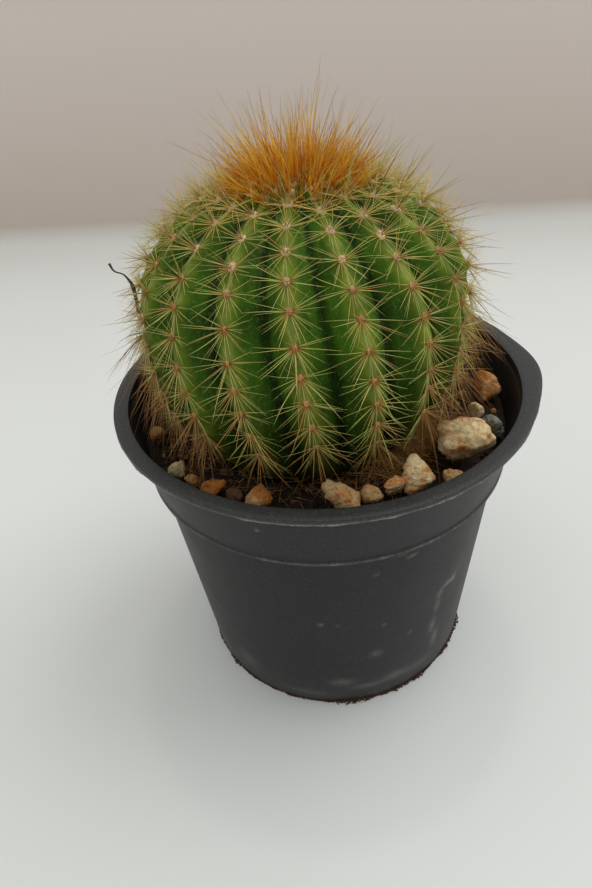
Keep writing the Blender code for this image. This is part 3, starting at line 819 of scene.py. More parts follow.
class CACTUS_OT_spines(bpy.types.Operator):
    """Makes the rows of areoles and their spines, one piece for each rib"""

    bl_idname = "cactus.make_spines"
    bl_label = "Spines"

    def execute(self, context):
        settings = context.scene.cactus_spines
        materials = [
            spine_material(settings), felt_material(settings),
            hair_material("cactus_spine_golden_fine", settings.golden_colour),
            hair_material("cactus_spine_dry", settings.dry_colour),
        ]
        for rib in range(RIB_COUNT):
            self.make_row(rib, settings, materials)
        return {"FINISHED"}

    def make_row(self, rib, settings, materials):
        draw = np.random.default_rng(100 + rib)
        bristles = Bristles(draw)
        along = np.arange(FIRST_AREOLES[rib] * MM, 62.0 * MM, AREOLE_SPACING)
        along = along + draw.normal(0.0, 0.25 * MM, len(along))
        along = along[crest_at(along)[1] > SOIL_TOP + 1.5 * MM]
        here, frames = areole_frames(rib, along)
        height = stem_share(here[:, 2])
        pad = draw.uniform(0.85, 1.15, (len(along), 1)) * np.array([[0.32, 0.6, 0.5]]) * MM
        pad = pad * np.interp(height, [0.72, 0.93], [1.0, 1.6])[:, None]
        bristles.add_pads(here + frames[..., 0] * 0.15 * MM, frames, pad)
        add_felt(bristles, here, frames, pad[:, 1], 46, 0.4, (0.6, 1.5), 0.4)
        for add in (self.add_radials, self.add_fine, self.add_centrals, self.add_skirt):
            add(bristles, draw, here, frames, height, settings)
        node = f"rib_spines_{rib + 1:02d}"
        bristles.piece(node + "_fan", materials, "straw_spines", [node])

    def add_fine(self, bristles, draw, here, frames, height, settings):
        """Fine golden spines between the radial ones, longest on the upper part of the stem."""
        each = int(9 + 26 * abs(sideways(here)) ** 4)
        here, frames, height = repeated(each, here, frames, height)
        count = len(here)
        lifts = np.radians(draw.uniform(18.0, 65.0, count))
        ways = fanned(frames, draw.uniform(0.0, TAU, count), lifts)
        lengths = draw.uniform(2.4, 6.0, count) * np.interp(height, [0.3, 0.9], [0.85, 1.35]) * MM
        roots = here + ways * 0.2 * MM
        bends = 0.08 * draw.normal(size=(count, 3))
        lengths = kept_in_pot(roots, ways, bends, lengths)
        radii = np.full(count, 0.04 * MM)
        bristles.add_hairs(roots, ways, lengths, bends, radii, material=2, rings=3, sides=3)

    def add_radials(self, bristles, draw, here, frames, height, settings):
        each = settings.radial_count
        spread = np.interp(height, [0.0, 0.35, 1.0], [70.0, 98.0, 118.0])
        fan = np.linspace(-1.0, 1.0, each)[None] * spread[:, None]
        here, frames, height = repeated(each, here, frames, height)
        count = len(here)
        angles = np.radians(fan.ravel() + draw.normal(0.0, 6.0, count))
        ways = fanned(frames, angles, np.radians(draw.normal(19.0, 6.0, count)))
        old = np.interp(height, [0.0, 0.3], [1.32, 1.0])
        young = np.interp(height, [0.8, 1.0], [1.0, 0.85])
        lengths = settings.radial_length * old * young * draw.uniform(0.72, 1.12, count)
        lengths *= 0.85 + 0.15 * np.abs(np.sin(angles))
        bends = 0.05 * draw.normal(size=(count, 3)) - 0.05 * frames[..., 0]
        radii = 0.5 * settings.thickness * draw.uniform(0.8, 1.15, count)
        golden = height > 0.92  # the areoles next to the crown
        self.add_spines(bristles, here, ways, lengths, bends, radii, golden, 2, sides=4)

    def add_centrals(self, bristles, draw, here, frames, height, settings):
        each = settings.central_count
        shorter = 0.34 * max(-sideways(here), 0.0) ** 3
        fan = np.tile(np.linspace(-50.0, 50.0, each), (len(here), 1))
        fan[:, each // 2] = 0.0
        here, frames, height = repeated(each, here, frames, height)
        count = len(here)
        angles = np.radians(fan.ravel() + draw.normal(0.0, 14.0, count))
        lift = np.interp(height, [0.0, 0.4, 0.8, 1.0], [28.0, 42.0, 58.0, 75.0])
        ways = fanned(frames, angles, np.radians(lift + draw.normal(0.0, 9.0, count)))
        lengths = settings.central_length * draw.uniform(0.75, 1.15, count) * (1.0 - shorter)
        bends = 0.06 * draw.normal(size=(count, 3))
        radii = 0.62 * settings.thickness * draw.uniform(0.85, 1.1, count)
        old = draw.uniform(0.0, 1.0, count) < np.interp(height, [0.1, 0.95], [0.9, 0.3])
        self.add_spines(bristles, here, ways, lengths, bends, radii, old, 3)

    def add_spines(self, bristles, here, ways, lengths, bends, radii, chosen, material, sides=5):
        """Adds spines, the chosen ones in a material of their own and the rest in straw."""
        roots = here + ways * 0.3 * MM
        lengths = kept_in_pot(roots, ways, bends, lengths)
        for some, look in ((chosen, material), (~chosen, 0)):
            parts = [part[some] for part in (roots, ways, lengths, bends, radii)]
            bristles.add_hairs(*parts, look, sides=sides)

    def add_skirt(self, bristles, draw, here, frames, height, settings):
        """Long dry bristles of the lowest areoles, which hang over the soil and the stones."""
        side = sideways(here)
        level = SOIL_TOP + (11.0 + 17.0 * abs(side) ** 3) * MM
        low = here[:, 2] <= max(level, here[:, 2].min())
        each = int(5 + (33 if side > 0.0 else 17) * abs(side) ** 3)
        here, frames = repeated(each, here[low], frames[low])
        count = len(here)
        angles = np.radians(draw.normal(0.0, 42.0, count))
        ways = fanned(frames, angles, np.radians(draw.uniform(10.0, 62.0, count)))
        bends = 0.16 * draw.normal(size=(count, 3)) + np.array([[0.0, 0.0, -0.3]])
        lengths = kept_in_pot(here, ways, bends, draw.uniform(7.5, 14.5, count) * MM)
        radii = 0.42 * settings.thickness * draw.uniform(0.8, 1.15, count)
        bristles.add_hairs(here, ways, lengths, bends, radii, material=3, rings=7, sides=4)


# ---------------------------------------------------------------- crown


def bristle_material(settings):
    """Young spine, hard and glossy, still clear at its foot. It gives a glowing orange foot, a
    golden shaft and a dull reddish tip."""
    material, tree = new_material("crown_bristle_amber", 0.38, 1.54)
    along, tint = (
        add_node(tree, "Attribute", "Fac", attribute_name=name) for name in ("along", "tint")
    )
    shaft = add_node(tree, "ValToRGB", "Color", {"Fac": along}, [
        (0.0, settings.foot_colour), (0.25, settings.foot_colour), (0.5, settings.middle_colour),
        (0.66, settings.middle_colour), (1.0, settings.tip_colour),
    ])
    redder = add_node(tree, "MapRange", "Result", {"Value": tint, "To Min": 0.487, "To Max": 0.517})
    return finished(material, shaded(tree, shaft, tint, 0.7, 1.2, hue=redder))


def wool_material(settings):
    """Crown wool, soft and matted. It gives a pale, dusty ground between the bristles."""
    material, tree = new_material(
        "crown_wool_matted", 0.95, 1.5, Sheen_Weight=0.3, Sheen_Roughness=0.6
    )
    tint = add_node(tree, "Attribute", "Fac", attribute_name="tint")
    return finished(material, shaded(tree, settings.wool_colour, tint, 0.75, 1.15))


class CACTUS_OT_crown(bpy.types.Operator):
    """Makes the woolly crown and its tuft of long amber bristles"""

    bl_idname = "cactus.make_crown"
    bl_label = "Crown"

    def execute(self, context):
        settings = context.scene.cactus_crown
        draw = np.random.default_rng(7)
        bristles = Bristles(draw)
        areoles = [
            areole_frames(rib, np.array([max(FIRST_AREOLES[rib] - rise, 0.8) * MM]))
            for rib in range(RIB_COUNT) for rise, step in YOUNG_AREOLES if rib % step == 0
        ]
        places, frames = (np.concatenate(part) for part in zip(*areoles))
        count = len(places)
        sizes = draw.uniform(0.9, 1.3, (count, 1)) * np.array([[0.45, 0.75, 0.7]]) * MM
        bristles.add_pads(places + frames[..., 0] * 0.1 * MM, frames, sizes)
        add_felt(bristles, places, frames, np.full(count, MM), 60, 0.3, (0.5, 1.4), 0.5)
        self.add_tuft(bristles, draw, places, settings)
        materials = [bristle_material(settings), wool_material(settings)]
        bristles.piece("crown_tuft", materials, "amber_spines", ["crown_spines"])
        return {"FINISHED"}

    def add_tuft(self, bristles, draw, places, settings):
        """Long bristles over a dense short fill, both leaning out towards the rim of the crown."""
        fill = settings.short_bristles * len(places)
        rib = draw.uniform(0.0, RIB_COUNT, fill)
        fill_roots, _ = areole_frames(rib, draw.uniform(0.01, 1.0, fill) ** 0.62 * 13.0 * MM)
        fill_roots[:, 2] -= 2.4 * MM * np.abs(rib - np.round(rib))
        flat = np.array([1.0, 1.0, 0.0])
        for roots, shortest, longest, thin, thick in (
            (np.repeat(places, settings.bristles, axis=0), 0.3, 1.0, 0.08, 0.14),
            (fill_roots, 0.2, 0.45, 0.05, 0.09),
        ):
            count = len(roots)
            roots = roots + 0.3 * MM * draw.normal(size=(count, 3)) * np.array([1.0, 1.0, 0.3])
            from_axis = (roots - on_stem(0.0, 0.0, CROWN_TOP)) * flat
            distance = np.linalg.norm(from_axis, axis=1)
            outwards = unit(from_axis + 0.2 * MM * draw.normal(size=(count, 3)) * flat)
            tilt = np.interp(distance / MM, [0.0, 5.0, 9.0, 13.0], [4.0, 20.0, 38.0, 54.0])
            tilt = np.radians(np.clip(tilt + draw.normal(0.0, 11.0, count), -30.0, 68.0))[:, None]
            ways = np.array([[0.0, 0.0, 1.0]]) * np.cos(tilt) + outwards * np.sin(tilt)
            ways = unit(ways + 0.1 * draw.normal(size=(count, 3)))
            spread = shortest + (longest - shortest) * draw.beta(1.1, 2.2, count)
            shoulder = np.interp(distance / MM, [7.0, 13.0], [1.0, 0.6])
            lengths = settings.length * spread * shoulder
            bends = 0.06 * draw.normal(size=(count, 3)) + 0.04 * outwards
            radii = draw.uniform(thin, thick, count) * MM
            bristles.add_hairs(roots + ways * 0.3 * MM, ways, lengths, bends, radii)


# ---------------------------------------------------------------- stones and soil


def stone_material(settings):
    """Decomposed granite grit, broken and rough. It gives cream and tan grains with iron stains
    and dark pits."""
    material, tree = new_material("granite_grit_broken", 0.86, 1.5)
    place = add_node(tree, "TexCoord", "Object")
    tint, rust = (
        add_node(tree, "Attribute", "Fac", attribute_name=name) for name in ("tint", "rust")
    )
    stain, speckle = (
        add_node(tree, "TexNoise", "Fac", {
            "Vector": place, "Scale": scale, "Detail": detail, "Roughness": roughness,
        })
        for scale, detail, roughness in (
            (330.0, 4.0, 0.65),  # stains about 3 mm wide
            (1400.0, 3.0, 0.7),  # mineral grains about 0.7 mm wide
        )
    )
    colour = add_node(tree, "ValToRGB", "Color", {"Fac": tint}, [
        (0.0, "#6b4a32"), (0.2, settings.tan_colour), (0.9, settings.cream_colour),
        (1.0, "#8f9088"),
    ])
    lifted = add_node(tree, "Math", 0, {0: stain, 1: rust})
    colour = masked(
        tree, colour, settings.stain_colour, lifted, [(0.54, "#000000"), (0.74, "#ffffff")]
    )
    grains = [(0.3, "#86715a"), (0.46, "#ece2d4"), (0.7, "#ffffff")]
    return finished(material, tinted(tree, colour, speckle, grains, 0.8), speckle, 0.6, 0.25)


# Shade from tan (0) to cream (1) and how much iron stain each front stone has, in CAD order
STONE_SHADES = (
    (0.88, 0.1), (1.0, -0.3), (0.85, -0.1), (0.5, 0.18), (0.4, 0.0), (0.4, 0.04), (0.9, 0.1),
    (0.8, 0.16), (0.4, 0.0), (0.55, 0.08), (0.7, 0.24), (0.0, -0.1), (0.35, 0.36), (0.3, 0.04),
    (0.88, -0.15),
)


class CACTUS_OT_stones(bpy.types.Operator):
    """Makes the grit stones as broken, rounded rocks where the CAD stones lie"""

    bl_idname = "cactus.make_stones"
    bl_label = "Stones"

    def execute(self, context):
        material = stone_material(context.scene.cactus_ground)
        nodes = sorted(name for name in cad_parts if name.startswith("grit_stone"))
        if not nodes:
            raise RuntimeError("the packed model has no grit stones")
        for number, node in enumerate(nodes):
            self.make_stone(number, node, material)
        return {"FINISHED"}

    def make_stone(self, number, node, material):
        """A rounded polyhedron: the nearest of its broken faces, blended at their edges."""
        draw = np.random.default_rng(400 + number)
        low, high = (np.array(corner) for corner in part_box(node))
        ways, faces = ball_mesh(5, 1.0)
        normals = unit(draw.normal(size=(15, 3)))
        facing = np.maximum(ways @ normals.T, 0.05) / draw.uniform(0.8, 1.0, 15)
        points = ways / np.sum(facing**5, axis=1, keepdims=True) ** 0.2
        lumpy = roughened(points, 0.55, number + 11, octaves=3)
        gritty = roughened(points, 0.16, number + 31, octaves=2)
        points = points * (1.0 + 0.13 * lumpy + 0.04 * gritty)[:, None]
        share = (points - points.min(0)) / (points.max(0) - points.min(0))
        points = low + (1.12 * share - 0.06) * (high - low)
        shade, rust = (
            STONE_SHADES[number] if number < len(STONE_SHADES)
            else (draw.uniform(0.0, 0.9), draw.uniform(-0.15, 0.2))
        )
        add_piece(
            f"{node}_broken", mesh_from(f"{node}_broken", points, [faces]), [material],
            "grit_stone", [node], tint=np.full(len(points), shade), rust=np.full(len(points), rust),
        )


def soil_material(settings):
    """Damp peat potting soil, loose and matt. It gives a near-black brown ground with paler
    fibres and crumbs."""
    material, tree = new_material("potting_soil_damp", 0.93, 1.45)
    tint = add_node(tree, "Attribute", "Fac", attribute_name="tint")
    crumbs = add_node(tree, "TexNoise", "Fac", {  # crumbs about 1.4 mm wide
        "Vector": add_node(tree, "TexCoord", "Object"), "Scale": 700.0, "Detail": 5.0,
        "Roughness": 0.7,
    })
    ground = shaded(tree, settings.soil_colour, crumbs, 0.45, 1.5, lowest=0.3, highest=0.7)
    pale = add_node(tree, "Mix", 2, {0: tint, 6: ground, 7: settings.tan_colour}, data_type="RGBA")
    return finished(material, pale, crumbs, 0.9, 0.5)


class CACTUS_OT_soil(bpy.types.Operator):
    """Makes the soil with its loose crumbs and small grit"""

    bl_idname = "cactus.make_soil"
    bl_label = "Soil"

    def execute(self, context):
        settings = context.scene.cactus_ground
        material = soil_material(settings)
        self.make_bed(material)
        self.make_crumbs(settings, material)
        return {"FINISHED"}

    def make_bed(self, material):
        """The bed fills the pot round the buried part of the stem."""
        steps = 180
        gap = 0.35 * MM
        step_z = SKIRT_FOOT + WALL
        edge, outer = soil_line_radius() + gap, wall_radius(SOIL_TOP) - gap
        rows = []
        for angle in (-80.0, -70.0, -60.0, -52.0):
            radius, z = crest_curve(math.radians(angle))
            rows.append((radius + gap, z - gap, 1.0))
        for share in np.linspace(0.0, 1.0, 44):
            rows.append((edge + (outer - edge) * share, SOIL_TOP, 1.0 - share))
        rows += [
            (wall_radius(step_z) - gap, step_z + gap, 0.0),
            (BODY_TOP_RADIUS - WALL - gap, SKIRT_FOOT + gap, 0.0),
            (wall_radius(FLOOR) - gap, FLOOR + 2.0 * gap, 0.0),
            (wall_radius(FLOOR) - 2.0 * gap, FLOOR + gap, 0.0),
        ]
        turn = TAU * np.arange(steps) / steps
        radius, z, share = np.array(rows).T[..., None]
        points = layered(
            share * STEM_X + radius * np.sin(turn), share * STEM_Y - radius * np.cos(turn), z
        ).reshape(-1, 3)
        surface = points[:, 2] > SOIL_TOP - 0.01 * MM
        rough = roughened(points[surface], 4.0 * MM, 5, octaves=4)
        points[surface, 2] += 0.7 * MM * rough - 0.5 * MM
        foot = crest_curve(math.radians(-90.0))[1] - gap
        points = np.concatenate([points, [[STEM_X, STEM_Y, foot], [0.0, 0.0, FLOOR + gap]]])
        mesh = mesh_from("soil_bed", points, turned_faces(len(rows), steps, flip=True))
        tint = np.zeros(len(points))
        add_piece("soil_bed", mesh, [material], "potting_soil", ["soil"], tint=tint)

    def make_crumbs(self, settings, material):
        draw = np.random.default_rng(12)
        count = settings.crumb_count + settings.grit_count
        azimuth = draw.uniform(0.0, TAU, count)
        inner = soil_line_radius() + STEM_X * np.sin(azimuth) - STEM_Y * np.cos(azimuth)
        outer = wall_radius(SOIL_TOP) - 1.3 * MM
        radius = inner + (outer - inner) * draw.uniform(0.0, 1.0, count) ** 0.8
        sizes = draw.gamma(2.0, 0.34, count).clip(0.3, 2.2) * MM
        gritty = np.arange(count) >= settings.crumb_count
        sizes[gritty] = draw.uniform(0.8, 2.2, settings.grit_count) * MM
        centres = round_axis(radius, azimuth, SOIL_TOP + 0.2 * sizes - 0.35 * MM)
        points, faces, owners = lumps(centres, sizes, 2, draw)
        shade = np.where(gritty, draw.uniform(0.25, 0.9, count), draw.beta(1.2, 7.0, count) * 0.5)
        mesh = mesh_from("soil_crumbs", points, [faces])
        add_piece("soil_crumbs", mesh, [material], "potting_soil", tint=shade[owners])


class CACTUS_OT_litter(bpy.types.Operator):
    """Makes the nest of dead spines round the foot of the stem"""

    bl_idname = "cactus.make_litter"
    bl_label = "Dead spines"

    def execute(self, context):
        settings = context.scene.cactus_spines
        draw = np.random.default_rng(57)
        bristles = Bristles(draw)
        edge = soil_line_radius()
        for count, middle, spread, pile, reach in (
            (700, 0.0, 180.0, 1.2, 8.0), (2200, 80.0, 32.0, 6.5, 6.0), (1000, 55.0, 26.0, 2.5, 9.0),
            (350, -82.0, 26.0, 4.0, 3.0), (400, 180.0, 50.0, 4.0, 4.0),
        ):
            azimuth = np.radians(middle + spread * draw.uniform(-1.0, 1.0, count))
            rise = np.abs(draw.normal(0.0, 0.6, count)) * pile * MM
            out = draw.uniform(-0.1, 1.0, count) * reach * MM * np.exp(-rise / (8.0 * MM))
            roots = on_stem(edge + out + 0.12 * rise, azimuth, SOIL_TOP + 0.5 * MM + rise)
            roots = roots[np.hypot(roots[:, 0], roots[:, 1]) < RIM_INNER_RADIUS - 2.5 * MM]
            count = len(roots)
            ways = unit(draw.normal(size=(count, 3)) * np.array([1.0, 1.0, 0.45]))
            ways[:, 2] -= 0.12
            bends = 0.25 * draw.normal(size=(count, 3)) * np.array([1.0, 1.0, 0.4])
            lengths = kept_in_pot(roots, ways, bends, draw.uniform(3.0, 7.5, count) * MM)
            radii = draw.uniform(0.045, 0.08, count) * MM
            bristles.add_hairs(roots, ways, lengths, bends, radii, rings=5, sides=4)
        dead = hair_material("cactus_spine_dead", settings.dry_colour)
        bristles.piece("fallen_spines", [dead], "straw_spines")
        return {"FINISHED"}


# ---------------------------------------------------------------- pot


def plastic_material(settings):
    """Moulded polypropylene, thin, satin and a little dusty. It gives soft wide highlights, a
    fine speckle, paler scuffs, painted highlights on the step bead and the rim's top, and dried
    soil with a painted contact shadow round the foot."""
    material, tree = new_material(
        "polypropylene_moulded_charcoal", 0.46, 1.49, Specular_IOR_Level=0.32
    )
    place = add_node(tree, "TexCoord", "Object")
    level = add_node(tree, "SeparateXYZ", "Z", {"Vector": place})
    # Scuffs, flash, dust and painted highlights on the step bead and the rim's top
    wear_and_highlight_share = add_node(tree, "Attribute", "Fac", attribute_name="wear")
    speckle, dust = (
        add_node(tree, "TexNoise", "Fac", {
            "Vector": place, "Scale": scale, "Detail": detail, "Roughness": roughness,
        })
        for scale, detail, roughness in (
            (2000.0, 2.0, 0.6),  # specks about 0.5 mm wide
            (100.0, 5.0, 0.65),  # dust in patches about 10 mm wide
        )
    )
    wear = settings.wear_colour
    dusty = [(0.42, "#040404"), (0.75, "#343434")]
    colour = masked(tree, settings.plastic_colour, wear, dust, dusty)
    colour = masked(tree, colour, wear, speckle, [(0.57, "#000000"), (0.7, "#4e4e4e")])
    ragged = add_node(tree, "Math", 0, {0: wear_and_highlight_share, 1: speckle}, operation="MULTIPLY")
    colour = add_node(tree, "Mix", 2, {0: ragged, 6: colour, 7: wear}, data_type="RGBA")
    foot = add_node(tree, "MapRange", "Result", {  # dried soil and painted contact shadow up to about 1.6 mm high
        "Value": level, "From Min": 0.4 * MM, "From Max": 2.2 * MM, "To Min": 1.0, "To Max": 0.0,
    })
    soiled_and_shaded = add_node(tree, "Math", 0, {0: foot, 1: dust}, operation="MULTIPLY")
    # Stops of the dark band at the pot's foot, dried soil and painted contact shadow
    soil = [(0.15, "#000000"), (0.4, "#ffffff")]
    colour = masked(tree, colour, settings.dirt_and_shadow_colour, soiled_and_shaded, soil)
    gloss = add_node(tree, "MapRange", "Result", {"Value": dust, "To Min": 0.36, "To Max": 0.62})
    return finished(material, colour, speckle, 0.25, 0.08, gloss)


def profile_part(radius, z, *rows):
    """Rows of the pot's profile: mm out from a radius and up from a height, the share of pale marks
    and painted highlight, and flash.
    """
    return [(radius + out * MM, z + up * MM, wear, flash) for out, up, wear, flash in rows]


def pot_profile():
    """Radius, height, pale marks and painted highlight, and flash up the outside, over the rim and
    down the inside.
    """
    bead = STEP_BEAD / MM
    bead_top = SKIRT_FOOT + 3.0 * STEP_BEAD
    skirt = SKIRT_TOP - 0.25 * MM - bead_top
    rows = profile_part(
        FOOT_RADIUS, 0.0,
        (-2.6, 0.0, 0.0, 0.0), (-0.9, 0.0, 0.2, 0.0), (-0.3, 0.08, 0.3, 0.0), (0.0, 0.5, 0.2, 0.0),
    )
    for share in np.linspace(0.03, 0.97, 76):
        dusty = 0.16 * math.exp(-((share / 0.16) ** 2))
        rows.append((FOOT_RADIUS + BODY_TAPER * share, SKIRT_FOOT * share, dusty, 0.0))
    rows += profile_part(
        BODY_TOP_RADIUS, SKIRT_FOOT, (0.1, -1.0, 0.0, 0.0), (0.6, -0.4, 0.0, 0.0),
    )
    # Painted highlight: the step bead is made pale where it catches the light.
    rows += profile_part(
        SKIRT_FOOT_RADIUS, SKIRT_FOOT,
        (-0.12, -0.02, 0.1, 0.1), (bead, 0.6 * bead, 0.7, 0.3), (bead, 1.6 * bead, 0.9, 0.3),
        (0.02, 3.0 * bead, 0.1, 0.0),
    )
    for share in np.linspace(0.04, 0.96, 22):
        sag = 0.12 * MM * math.sin(math.pi * share)
        radius = SKIRT_FOOT_RADIUS + SKIRT_TAPER * share - sag
        rows.append((radius, bead_top + skirt * share, 0.0, 0.0))
    rows += profile_part(
        SKIRT_TOP_RADIUS, SKIRT_TOP, (-0.02, -0.2, 0.0, 0.0), (0.25, 0.0, 0.1, 0.0),
    )
    rows += profile_part(
        RIM_RADIUS, SKIRT_TOP,
        (-0.35, -0.02, 0.4, 0.4), (-0.1, -0.05, 1.6, 1.0), (-0.05, 0.14, 1.5, 0.8),
        (-0.05, 0.35, 0.3, 0.0),
    )
    # Painted light: the rim's rounded edge and flat top are made paler, partly dust and partly
    # painted light where they face up.
    rows += profile_part(
        RIM_RADIUS, POT_HEIGHT,
        (-0.02, -0.32, 0.2, 0.0), (-0.09, -0.09, 0.16, 0.0), (-0.3, 0.0, 0.16, 0.0),
        (-1.1, 0.0, 0.13, 0.0), (-2.0, -0.03, 0.12, 0.0),
    )
    rows += profile_part(
        RIM_INNER_RADIUS, POT_HEIGHT,
        (0.5, -0.05, 0.12, 0.0), (0.12, -0.16, 0.1, 0.0), (0.0, -0.5, 0.0, 0.0),
    )
    rows += profile_part(RIM_INNER_RADIUS, LEDGE_Z, (-0.02, 0.15, 0.0, 0.0))
    rows += profile_part(
        wall_radius(LEDGE_Z), LEDGE_Z, (0.05, 0.0, 0.06, 0.0), (0.0, -0.15, 0.1, 0.0),
    )
    for share in np.linspace(0.15, 1.0, 5):
        z = LEDGE_Z + (SKIRT_FOOT + WALL - LEDGE_Z) * share
        rows.append((wall_radius(z), z, 0.0, 0.0))
    rows.append((BODY_TOP_RADIUS - WALL, SKIRT_FOOT, 0.0, 0.0))
    for share in np.linspace(0.9, 0.05, 6):
        z = FLOOR + (SKIRT_FOOT - FLOOR) * share
        rows.append((wall_radius(z), z, 0.0, 0.0))
    rows.append((wall_radius(FLOOR + 0.4 * MM) - 0.1 * MM, FLOOR + 0.4 * MM, 0.0, 0.0))
    rows.append((wall_radius(FLOOR) - 0.6 * MM, FLOOR, 0.0, 0.0))
    return rows


class CACTUS_OT_pot(bpy.types.Operator):
    """Makes the moulded pot with its rim, step, ragged flash line and drain holes"""

    bl_idname = "cactus.make_pot"
    bl_label = "Pot"

    def execute(self, context):
        settings = context.scene.cactus_pot
        steps = 360
        turn = TAU * np.arange(steps) / steps
        radius, z, wear, flash = np.array(pot_profile()).T[..., None] + np.zeros(steps)
        outside = np.cumsum(z > SKIRT_TOP - 0.01 * MM, axis=0) == 0
        for azimuth, level, wide, high, strength in POT_MARKS:
            away = (turn - math.radians(azimuth) + math.pi) % TAU - math.pi
            above = z - level * MM
            mark = np.exp(-((away * radius / (wide * MM)) ** 2) - (above / (high * MM)) ** 2)
            wear = wear + 1.4 * strength * mark * outside
        slow = roughened(round_axis(1.0, turn, 0.0), 0.12, 3)
        fast = np.random.default_rng(5).uniform(0.0, 1.0, steps)
        ragged = np.clip(0.35 + 1.1 * slow, 0.0, 1.0) * (0.4 + 0.6 * fast)
        wear = np.where(flash > 0.0, wear * (0.35 + 1.1 * ragged), wear)
        lobe = np.exp(-(((turn - math.radians(89.0)) / math.radians(14.0)) ** 2))
        lip = (radius > RIM_RADIUS - 1.2 * MM) & (z > SKIRT_TOP - 0.1 * MM)
        radius = radius + lip * 1.6 * MM * lobe  # the lip is pressed out at one place
        radius = radius + flash * settings.flash * ragged
        z = z - flash * 0.4 * settings.flash * ragged
        out_of_round = 0.12 * MM * np.sin(2.0 * turn + 0.6) + 0.08 * MM * np.sin(3.0 * turn)
        radius = radius + out_of_round * np.clip(z / POT_HEIGHT, 0.0, 1.0)
        points = round_axis(radius, turn, z).reshape(-1, 3)
        points = np.concatenate([points, [[0.0, 0.0, 0.0], [0.0, 0.0, FLOOR]]])
        piece = add_piece(
            "pot_moulded", mesh_from("pot_moulded", points, turned_faces(len(z), steps)),
            [plastic_material(settings)], "charcoal_plastic", ["pot"],
            wear=np.append(wear, [0.0, 0.0]),
        )
        self.cut_drain_holes(piece)
        piece.data.set_sharp_from_angle(angle=math.radians(40.0))
        return {"FINISHED"}

    def cut_drain_holes(self, piece):
        cutters = []
        for turn in TAU * np.arange(DRAIN_HOLES) / DRAIN_HOLES:
            bm = bmesh.new()
            bmesh.ops.create_cone(
                bm, cap_ends=True, segments=28, radius1=DRAIN_HOLE_RADIUS,
                radius2=DRAIN_HOLE_RADIUS, depth=4.0 * FLOOR,
                matrix=Matrix.Translation(round_axis(DRAIN_HOLE_CIRCLE, turn, 0.0)),
            )
            mesh = bpy.data.meshes.new("drain_cutter")
            bm.to_mesh(mesh)
            bm.free()
            cutter = bpy.data.objects.new("drain_cutter", mesh)
            bpy.context.scene.collection.objects.link(cutter)
            boolean = piece.modifiers.new("Drain hole", "BOOLEAN")
            boolean.operation = "DIFFERENCE"
            boolean.solver = "EXACT"
            boolean.object = cutter
            cutters.append(cutter)
        graph = bpy.context.evaluated_depsgraph_get()
        cut_mesh = bpy.data.meshes.new_from_object(piece.evaluated_get(graph))
        piece.modifiers.clear()
        piece.data = cut_mesh
        for cutter in cutters:
            bpy.data.objects.remove(cutter, do_unlink=True)


def dirt_and_shadow_material(settings):
    """Dried soil, crumbly and matt. It gives a thin brown ring that grounds the pot, both dried
    soil and a painted contact shadow.
    """
    material, tree = new_material("potting_soil_dried_and_shadow", 0.95, 1.45)
    tint = add_node(tree, "Attribute", "Fac", attribute_name="tint")
    return finished(material, shaded(tree, settings.dirt_and_shadow_colour, tint, 0.5, 1.3))


class CACTUS_OT_foot_dirt_and_shadow(bpy.types.Operator):
    """Makes the crumbs of dried soil that cling round the pot's foot, a dark ring that is also a
    painted contact shadow
    """

    bl_idname = "cactus.make_foot_dirt"
    bl_label = "Dirt round the foot"

    def execute(self, context):
        draw = np.random.default_rng(31)
        count = 2600
        azimuth = draw.uniform(0.0, TAU, count)
        azimuth[::4] = draw.normal(0.62, 0.55, len(azimuth[::4]))  # more of it at the front right
        near = layered(np.sin(azimuth), np.cos(azimuth), 0.0)
        thick = np.clip(0.55 + 0.9 * roughened(near, 0.16, 9, octaves=2), 0.15, 1.3)
        thick *= np.where((azimuth > math.pi) | (azimuth < 0.0), 0.5, 1.0)  # less on the left
        spread = np.abs(draw.normal(0.0, 0.5, count)) * thick
        sizes = draw.uniform(0.2, 0.62, count) * MM
        rise = 0.45 * sizes + draw.uniform(0.0, 0.9, count) * MM * thick * np.exp(-spread / 0.3)
        centres = round_axis(FOOT_RADIUS - 0.1 * MM + spread * MM, azimuth, rise)
        points, faces, owners = lumps(centres, sizes, 1, draw)
        points[:, 2] = np.maximum(points[:, 2], 0.02 * MM)
        add_piece(
            "foot_dirt_and_shadow", mesh_from("foot_dirt_and_shadow", points, [faces]),
            [dirt_and_shadow_material(context.scene.cactus_ground)], "potting_soil",
            tint=draw.uniform(0.0, 1.0, count)[owners],
        )
        return {"FINISHED"}


# ---------------------------------------------------------------- dried strand


def root_material(settings):
    """Dried root, shrivelled and papery. It gives a dull grey-brown with darker wrinkles."""
    material, tree = new_material("dried_root_shrivelled", 0.85, 1.45)
    wrinkles = add_node(tree, "TexNoise", "Fac", {  # wrinkles about 0.6 mm apart
        "Vector": add_node(tree, "TexCoord", "Object"), "Scale": 1600.0, "Detail": 3.0,
    })
    colour = shaded(tree, settings.root_colour, wrinkles, 0.5, 1.6)
    return finished(material, colour, wrinkles, 0.7, 0.15)


def smooth_path(knots, steps):
    """Rows read from a Catmull-Rom curve through the given ones."""
    ends = np.concatenate([[2.0 * knots[0] - knots[1]], knots, [2.0 * knots[-1] - knots[-2]]])
    path = []
    for a, b, c, d in zip(ends, ends[1:], ends[2:], ends[3:]):
        for t in np.arange(steps) / steps:
            curve = 2.0 * b + (c - a) * t + (2.0 * a - 5.0 * b + 4.0 * c - d) * t**2
            path.append(0.5 * (curve + (3.0 * b - a - 3.0 * c + d) * t**3))
    return np.array([*path, knots[-1]])


